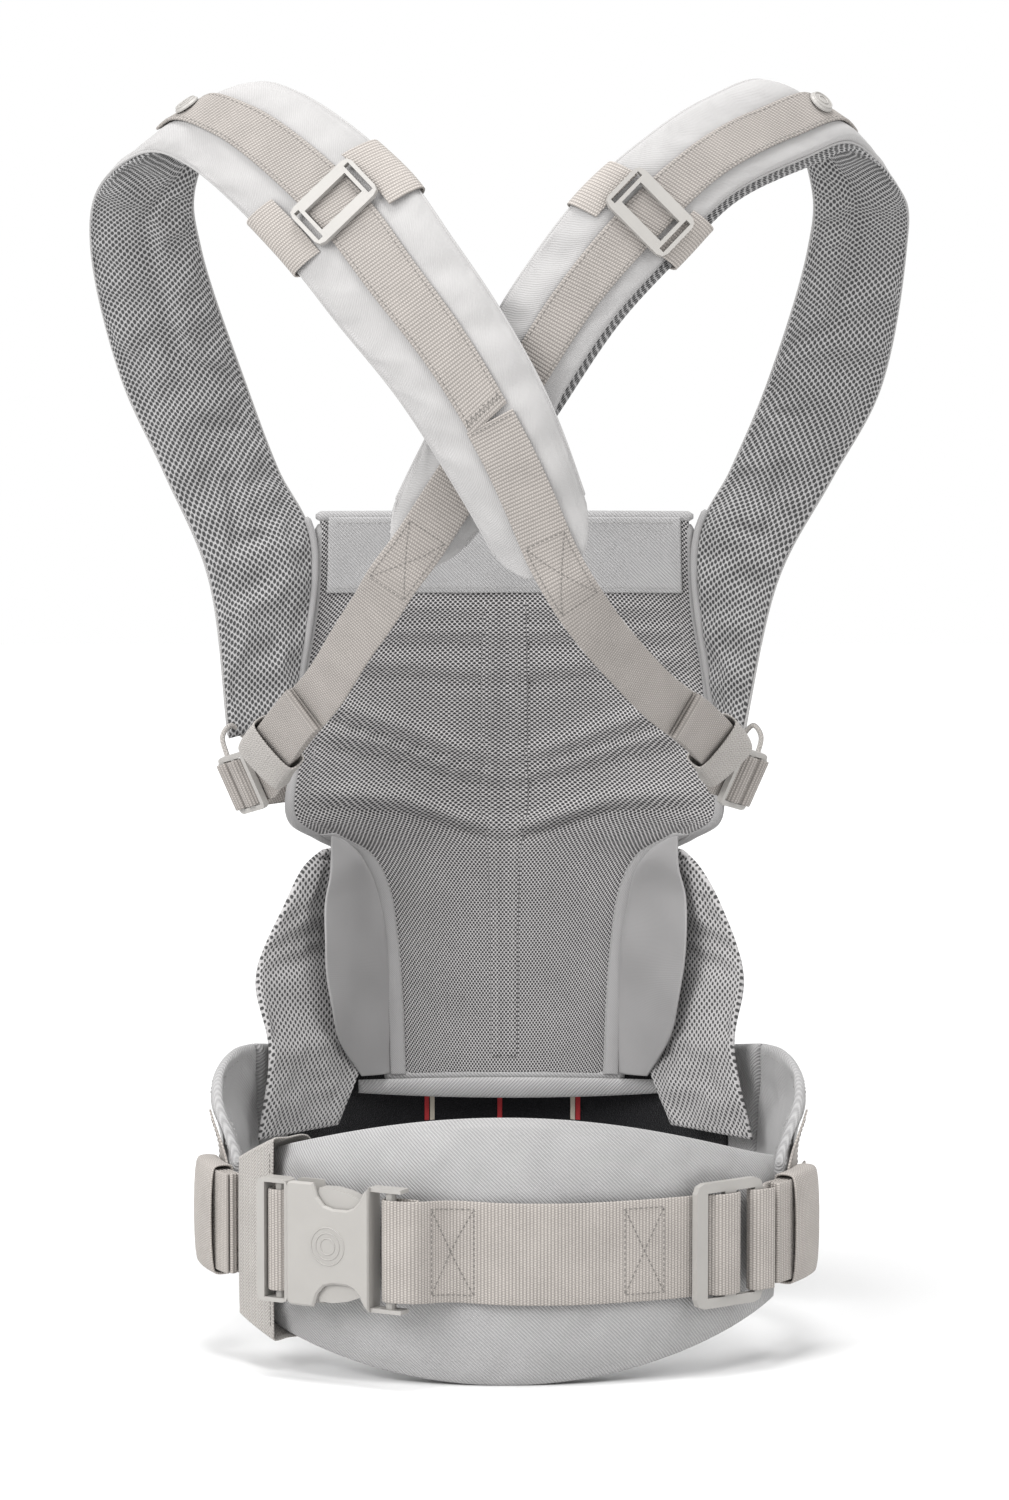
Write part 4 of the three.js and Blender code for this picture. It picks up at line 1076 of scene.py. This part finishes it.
def build_thigh_pads():
    inner = [(86, 96, 172), (78, 104, 160), (74, 111, 145), (73, 111, 108), (72, 97, 68), (86, 72, 30)]
    outline = [(89, 81, 179), (89, 78, 162), (93, 76, 147), (93, 69, 120), (87, 72, 78), (74, 88, 53)]
    pleat = [(84, 90, 176), (75, 99, 166), (70, 108, 150), (66, 106, 112), (65, 104, 82), (64, 99, 52)]
    for name, side in SIDES.items():
        mirrored = lambda points: curve([(side * x, y, z) for x, y, z in points])
        surface = between(curve(THIGH_OUTER[name]), mirrored(inner))
        seams = [[(0.0, 0.09), (1.0, 0.13)], [(0.0, 0.53), (1.0, 0.44)], [(0.0, 0.86), (1.0, 0.8)]]
        box = [(0.16, 0.9), (0.84, 0.86), (0.84, 1.0)]

        def relief(points, u, v):
            plane = np.stack([v * 0.5, u], axis=-1)
            depth = 0
            for (v0, u0), (v1, u1) in seams:
                depth = depth + np.exp(-(away(plane, [(v0 * 0.5, u0), (v1 * 0.5, u1)]) / 0.022) ** 2)
            lying = away(plane, [(v0 * 0.5, u0) for v0, u0 in box])
            return depth + 0.6 * np.exp(-(lying / 0.012) ** 2)
        half = lambda u, v: 1.5 + 2.1 * np.minimum(1, 6 * u * (1 - u)) * np.minimum(1, 5 * v * (1 - v))
        dent = lambda p, u, v: np.minimum(relief(p, u, v), 1) * (half(u, v) - 0.9)
        pad = Cloth(f"thigh_rest_{name}", surface,
                    lambda p, u, v: -half(u, v) + (dent(p, u, v) if side > 0 else 0),
                    lambda p, u, v: half(u, v) - (dent(p, u, v) if side < 0 else 0), "thigh_mesh",
                    step=3.4, edge=1.7)
        lying = relief(pad.points, pad.u, pad.v) > 0.75
        pad.inflate(held=lying, pressure=6, cap=2.2, grow=0.03).smooth().stand_for(f"thigh_pad_{name}")
        edge = [(80, 106, 170), (79, 112.5, 165), (71, 118.5, 150), (64.5, 116, 112), (62, 110.5, 82), (60, 106, 52)]
        strips = [mirrored(points) for points in (outline, pleat, edge)]

        def hanging(u, v):
            """The gusset's cloth: round its pleat and back to the panel's edge."""
            first, second, third = (strip(u) for strip in strips)
            v = np.asarray(v, float)[..., None] * 2
            return (first * (1 - v) * (2 - v) / 2 + second * v * (2 - v) + third * v * (v - 1) / 2)

        def sway(points, u, v):
            folds = 1.3 * np.sin(6.5 * v + 1.4 * np.sin(4.5 * u + side)) + 0.8 * ripple(points, 34, 4 + side)
            return folds * np.minimum(1, 5 * u * (1 - u))
        gusset = Cloth(f"gusset_sheet_{name}", hanging, lambda p, u, v: -0.7 + sway(p, u, v),
                       lambda p, u, v: 0.7 + sway(p, u, v), "satin", step=3.4)
        gusset.smooth().stand_for(f"gusset_{name}")


# ---------------------------------------------------------------- shoulder straps

GAP = 0.35
PAD_TOP = 6.6
STRAPS = {
    "left": {
        "side": -1,
        "arm": [(-141, 75, 230), (-152, 95, 312), (-175, 100, 366), (-196, 98, 413), (-209, 65, 480),
                (-203, 35, 511), (-175, -8, 530), (-154, -27, 523), (-109, -68, 483), (-79, -90, 447),
                (-50, -106, 412), (-21, -116, 367), (5, -118, 321)],
        "neck": [(-110, 101, 235), (-100, 106, 330), (-117, 105, 366), (-133, 97, 410), (-154, 62, 480),
                 (-155, 30, 513), (-125, -18, 562), (-100, -38, 558), (-50, -74, 521), (-25, -94, 488),
                 (0, -108, 451), (22, -118, 410), (47, -118, 341)],
        "web": (0.32, 0.7), "web_start": 0.472, "stud": 0.496, "seam": 0.885, "slider": 0.667,
        "tail": (0.475, 0.56, 0.635), "bare": (0.4, 0.54, 0.0),
        "free": [((33, -125, 320), (0, -1, 0)), ((45, -113, 302), (0.3, -0.95, 0)),
                 ((59, -90, 284), (0.4, -0.9, 0)), ((76, -56, 264), (0.5, -0.85, -0.1)),
                 ((92, -22, 249), (0.55, -0.8, -0.2)), ((102, 0, 238), (0.58, -0.7, -0.35)),
                 ((109, 17, 227), (0.6, -0.7, -0.35))],
    },
    "right": {
        "side": 1,
        "arm": [(122, 81, 230), (141, 96, 312), (168, 100, 362), (192, 98, 407), (203, 65, 480),
                (200, 35, 507), (175, -8, 531), (152, -30, 524), (113, -58, 506), (86, -74, 480),
                (56, -86, 448), (26, -93, 404), (0, -95, 365), (-32, -96, 325)],
        "neck": [(110, 101, 235), (100, 106, 330), (117, 105, 366), (135, 97, 410), (154, 62, 480),
                 (154, 30, 513), (128, -18, 564), (98, -38, 555), (68, -64, 536), (38, -80, 510),
                 (8, -90, 471), (-15, -96, 433), (-38, -98, 392), (-61, -98, 345)],
        "web": (0.32, 0.72), "web_start": 0.435, "stud": 0.465, "seam": 0.86, "slider": 0.68,
        "tail": (0.475, 0.56, 0.635), "bare": (0.38, 0.9, 0.095),
        "free": [((-54, -105, 325), (0, -1, 0)), ((-63, -97, 310), (-0.3, -0.95, 0)),
                 ((-74, -82, 293), (-0.4, -0.9, 0)), ((-88, -56, 269), (-0.5, -0.85, -0.1)),
                 ((-101, -30, 252), (-0.55, -0.8, -0.2)), ((-111, -8, 238), (-0.58, -0.7, -0.35)),
                 ((-118, 12, 227), (-0.6, -0.7, -0.35))],
    },
}


def strap_surface(strap):
    edges = [curve(strap["arm"]), curve(strap["neck"])]
    if strap["side"] > 0:
        edges.reverse()
    return between(*edges)


def pad_half(v):
    return 4 * np.minimum(1, 4 * np.minimum(v, 1 - v))


def build_strap(name, strap):
    surface = strap_surface(strap)
    middle = sum(strap["web"]) / 2
    arm = (lambda v: v) if strap["side"] < 0 else (lambda v: 1 - v)

    def rounded(u, v):
        """The strap's surface with the corners of its lower end rounded off."""
        side = np.abs(2 * np.asarray(v, float) - 1)
        return surface(np.asarray(u, float) * (1 - 0.026 * side ** 5), v)

    def covered(u, v):
        """Share of the strap's width under a place on the cover, which stops short of the arm edge."""
        first, last, share = strap["bare"]
        bare = share * smoothstep(u, first, first + 0.07) * (1 - smoothstep(u, last - 0.07, last))
        return v * (1 - bare) if strap["side"] > 0 else lerp(bare, 1, v)

    def roof(points, u, v):
        v = covered(u, v)
        crowned = 1.4 + 4.4 * (1 - (2 * v - 1) ** 4)
        sewn = smoothstep(u, strap["web_start"] - 0.02, strap["web_start"] + 0.01)
        lying = np.exp(-((v - middle) / 0.16) ** 4) * sewn
        return crowned + 0.35 * ripple(points, 38, 2) * (1 - lying) - 0.2 * lying
    pad = Cloth(f"strap_outer_{name}", lambda u, v: rounded(u, covered(u, v)), 0.1, roof, "twill", step=4.2,
                edge=2.2)
    webbed = (pad.upper & (pad.u > strap["web_start"] - 0.005)
              & (np.abs(covered(pad.u, pad.v) - middle) < (strap["web"][1] - strap["web"][0]) / 2 + 0.02))
    pad.inflate(held=webbed, pressure=5, cap=2.0, grow=0.02)
    pad.smooth().stand_for(f"strap_cover_{name}", f"strap_foam_{name}")
    seam = Stitches(f"strap_stitches_{name}")
    for v in (0.09, 0.91):
        seam.along(pad, [(0.004, v), (0.1, v), (0.2, v), (0.3, v), (0.4, v)], pitch=3.2)
    seam.build()

    fold = [(0.44, 0.86), (0.40, 0.62), (0.38, 0.55), (0.32, 0.58), (0.27, 0.56), (0.262, 0.7), (0.258, 0.97)]
    tacks = [[(0.21, 0.6), (0.21, 0.8)], [(0.16, 0.55), (0.1, 0.32)], [(0.1, 0.32), (0.1, 0.54)],
             [(0.068, 0.2), (0.068, 0.42)], [(0.035, 0.3), (0.035, 0.6)]]
    on_cloth = lambda route: [(u * 640, v * 50) for u, v in route]

    def sunk(u, v):
        place = np.stack([u * 640, arm(v) * 50], axis=-1)
        depth = 3.6 * np.exp(-(away(place, on_cloth(fold)) / 3.4) ** 2)
        for route in tacks:
            depth = depth + 3.4 * np.exp(-(away(place, on_cloth(route)) / 3.0) ** 2)
        return np.minimum(depth, 4.2) * np.minimum(1, 7 * v * (1 - v))

    def inner(points, u, v):
        swell = 0.9 * ripple(points, 34, 6) * np.minimum(1, 5 * v * (1 - v))
        return -(0.35 + pad_half(v) + 2.1 + swell) + sunk(u, v)
    mesh = Cloth(f"strap_mesh_{name}", rounded, inner, -0.1, "coarse_mesh", step=3.6, edge=2.2)
    mesh.inflate(held=(mesh.upper | (sunk(mesh.u, mesh.v) > 2.2)), pressure=6, cap=1.8, grow=0.05, stiff=8)
    mesh.smooth().stand_for(f"strap_liner_{name}")
    steps = np.linspace(0.002, 0.995, 220)
    for edge in (0.0, 1.0):
        place = covered(steps, np.full(220, edge))
        rim = rounded(steps, place)
        out = normals(surface, steps, place)
        label = "arm" if (edge == 0.0) == (strap["side"] < 0) else "neck"
        tube(f"strap_piping_{label}_{name}", rim + out * 0.1, 0.85, "twill", sides=8, up=out)
        if label == "neck":
            join = rim[:24] - np.array((strap["side"] * 1.3, 1.5, 0))
            tube(f"strap_join_{name}", join, 2.0, "panel_twill", sides=10, up=out[:24])

    strip = lambda u, v: surface(lerp(strap["web_start"], strap["seam"] + 0.0072, np.asarray(u, float)),
                                 lerp(*strap["web"], np.asarray(v, float)))
    web = Cloth(f"back_strip_{name}", strip, PAD_TOP - 0.2, PAD_TOP + WEB, "strap_webbing", step=4, across=3)
    web.stand_for(f"back_webbing_{name}")
    seam = Stitches(f"back_stitches_{name}", "dark_thread")
    for v in (0.08, 0.92):
        seam.along(web, [(0.01, v), (0.5, v), (0.99, v)], pitch=3, size=2, radius=0.2)
    zigzag = [(0.985 - 0.012 * (k % 2), 0.04 + 0.92 * k / 16) for k in range(17)]
    seam.along(web, zigzag, pitch=1.6, size=1.5)
    seam.build()

    half = 0.026
    path = [(0.79, 6.9), (0.86, 6.4), (0.95, 5), (1.025, 2.4), (1.04, -0.6), (1.02, -3.6),
            (0.95, -6.6), (0.86, -8.4), (0.76, -8.8)]
    mirrored = [(1 - v, distance) for v, distance in path][::-1]
    bands = {"neck": path, "arm": mirrored} if strap["side"] < 0 else {"neck": mirrored, "arm": path}
    for edge, section in bands.items():
        band = wrapped(surface, strap["slider"] - half, strap["slider"] + half, section)
        elastic = Cloth(f"slider_elastic_{edge}_{name}", band, -0.5, 0.5, "webbing",
                        body=f"slider_{name}", step=3, across=1.6)
        elastic.stand_for(f"slider_band_{edge}_{name}")


# ---------------------------------------------------------------- crossed webbing and side adjusters


def reach_of(side):
    return 0.91 if side > 0 else 1


def ladder_seat(side):
    centre = np.array((side * 133 * reach_of(side), 40, 213 if side > 0 else 211), float)
    along = unit(np.array((side * 0.55, 0.8, -0.24)))
    across = unit(np.cross(along, (side * 0.73, -0.6, -0.32)))
    inward = np.cross(along, across)

    def station(depth, rise, facing):
        return (centre + inward * depth + along * rise, -inward, across * facing)
    return station


def cross_ribbon(strap):
    surface = strap_surface(strap)
    middle = sum(strap["web"]) / 2
    start = strap["seam"] + 0.008
    stations = []
    for k in range(4):
        u = lerp(start, 0.99, k / 3)
        v = lerp(middle, 0.5, (u - strap["seam"]) / (1 - strap["seam"]))
        place = np.array([u]), np.array([v])
        normal = free_normals(surface, *place)[0]
        stations.append((surface(*place)[0] + normal * (PAD_TOP + WEB / 2), normal))
    stations += strap["free"]
    seat = ladder_seat(-strap["side"])
    hardware = ((4, -16.5), (3.7, -11.8), (0, -7.3), (-2.9, -4.6), (-2.9, -0.4), (0.8, 2))
    return ribbon(stations + [seat(depth, rise, -1) for depth, rise in hardware], 25)


def build_cross_webbing(name, strap):
    surface = cross_ribbon(strap)
    flank = "left" if strap["side"] > 0 else "right"
    web = Cloth(f"cross_strip_{name}", surface, -WEB / 2, WEB / 2, "strap_webbing", body=None, step=1.8, across=3)
    web.stand_for(f"cross_webbing_{name}")
    seam = Stitches(f"cross_stitches_{name}", "dark_thread")
    x_box(seam, web, 0.165, 0.265, 0.1, 0.9, pitch=2.4, size=1.7, radius=0.26)
    seam.along(web, [(0.006, 0.05), (0.006, 0.95)], pitch=2.2, size=1.6)
    seam.build()
    start, keeper, end = strap["tail"]
    roll = Cloth(f"side_roll_{flank}", folded(surface, layers(start, end, 1.9, 5.6, 3, 0.0035)),
                 -0.7, 0.7, "strap_webbing", step=1.2, across=3)
    roll.stand_for(f"side_tail_{flank}")
    band = wrapped(surface, keeper, end, keeper_path(2.3, 8.2, 0.09))
    loop = Cloth(f"side_loop_{flank}", band, -0.5, 0.5, "elastic", step=3, across=1.4)
    loop.stand_for(f"side_keeper_{flank}")
    seat = ladder_seat(-strap["side"])
    far, near = seat(0, -36, 1)[0] * MM, seat(0, -14, 1)[0] * MM
    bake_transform(web.item)


def build_side(name, side):
    seat = ladder_seat(side)
    out = side * reach_of(side)
    anchor = [((side * 99, 113, 205), (side * 0.3, 0.95, 0)),
              ((side * 112, 107, 206), (side * 0.4, 0.85, -0.35)),
              ((out * 135, 93, 202), (side * 0.56, 0.3, -0.76)),
              ((out * 133, 78, 204), (side * 0.68, -0.3, -0.65))]
    loop = ((3.6, 18), (3.1, 12.5), (3.1, 6.8), (1.9, 4.5), (-1.9, 4.5), (-3.1, 6.8), (-3.1, 10.5))
    route = ribbon(anchor + [seat(depth, rise, 1) for depth, rise in loop], 25)
    web = Cloth(f"side_strip_{name}", route, -WEB / 2, WEB / 2, "strap_webbing", body=None, step=1.5, across=3)
    web.stand_for(f"side_webbing_{name}")
    near, far = seat(0, 15, 1)[0] * MM, seat(0, 32, 1)[0] * MM
    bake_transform(web.item)
    cord = curve([(out * 134, 79, 231), (out * 140, 73, 237), (out * 144, 65, 232), (out * 141, 57, 222)])
    line = tube(f"side_loop_cord_{name}", cord(np.linspace(0, 1, 30)), 1.3, "elastic", sides=10,
                up=(0, 1, 0.2))
    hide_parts(f"side_cord_{name}")
    path = [tuple(point) for point in cord(np.linspace(0, 1, 12)) * MM]


# ---------------------------------------------------------------- plastic parts


def finish_plastic():
    for node in ("waist_buckle_female", "waist_buckle_male", "waist_prong_upper", "waist_prong_lower",
                 "triglide", "slider_left", "slider_right", "side_adjuster_left", "side_adjuster_right",
                 "stud_left", "stud_right"):
        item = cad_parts[node]
        material = LOOKS["plastic"][0]
        if item.material_slots:
            for place in item.material_slots:
                place.link = "OBJECT"
                place.material = material
        soften = item.modifiers.new("rounded_edges", "BEVEL")
        soften.width = 0.0005 if "prong" in node or "waist" in node else 0.0004
        soften.segments = 3
        soften.limit_method = "ANGLE"
        soften.angle_limit = math.radians(38)
        soften.use_clamp_overlap = True


# Raised rings on each press stud, as (radius, height above its foot).
STUD_RINGS = ((5.2, 1.95), (2.6, 2.3))


def build_rings():
    """Plain raised rings on the outer face of the waist buckle and on the press studs."""
    turn = np.linspace(0, 2 * math.pi, 61)
    for k, radius in enumerate((9.2, 6.6, 4.0)):
        points = []
        for angle in turn:
            x, y, z = buckle_point((-3 + radius * math.cos(angle), -6.45))
            points.append((x, y, z + radius * math.sin(angle)))
        out = np.array(buckle_point((0, -1))) - np.array(buckle_point((0, 0)))
        ring = tube(f"buckle_ring_{k}", points, 0.42, "plastic", sides=8, up=tuple(out))
    for name, strap in STRAPS.items():
        surface, u, v = strap_surface(strap), np.array([strap["stud"]]), np.array([0.5])
        out = free_normals(surface, u, v)[0]
        foot = surface(u, v)[0] + out * (PAD_TOP + WEB + GAP)
        along = unit(np.cross(out, (0, 1, 0)))
        across = np.cross(out, along)
        for k, (radius, rise) in enumerate(STUD_RINGS):
            points = [foot + out * rise + radius * (along * math.cos(angle) + across * math.sin(angle))
                      for angle in turn]
            ring = tube(f"stud_ring_{k}_{name}", points, 0.5, "plastic", sides=8, up=tuple(out))


# ---------------------------------------------------------------- build

build_camera()
build_studio()
build_lumbar()
build_belt()
build_wings()
build_waist_webbing()
build_waist_tails()
build_lumbar_band()
build_panel()
build_head_flap()
build_thigh_pads()
for strap_name, strap_data in STRAPS.items():
    build_strap(strap_name, strap_data)
    build_cross_webbing(strap_name, strap_data)
for side_name, side_sign in SIDES.items():
    build_side(side_name, side_sign)
build_rings()
finish_plastic()

[list(corner) for corner in CAD_BOX]
[list(corner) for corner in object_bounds()]
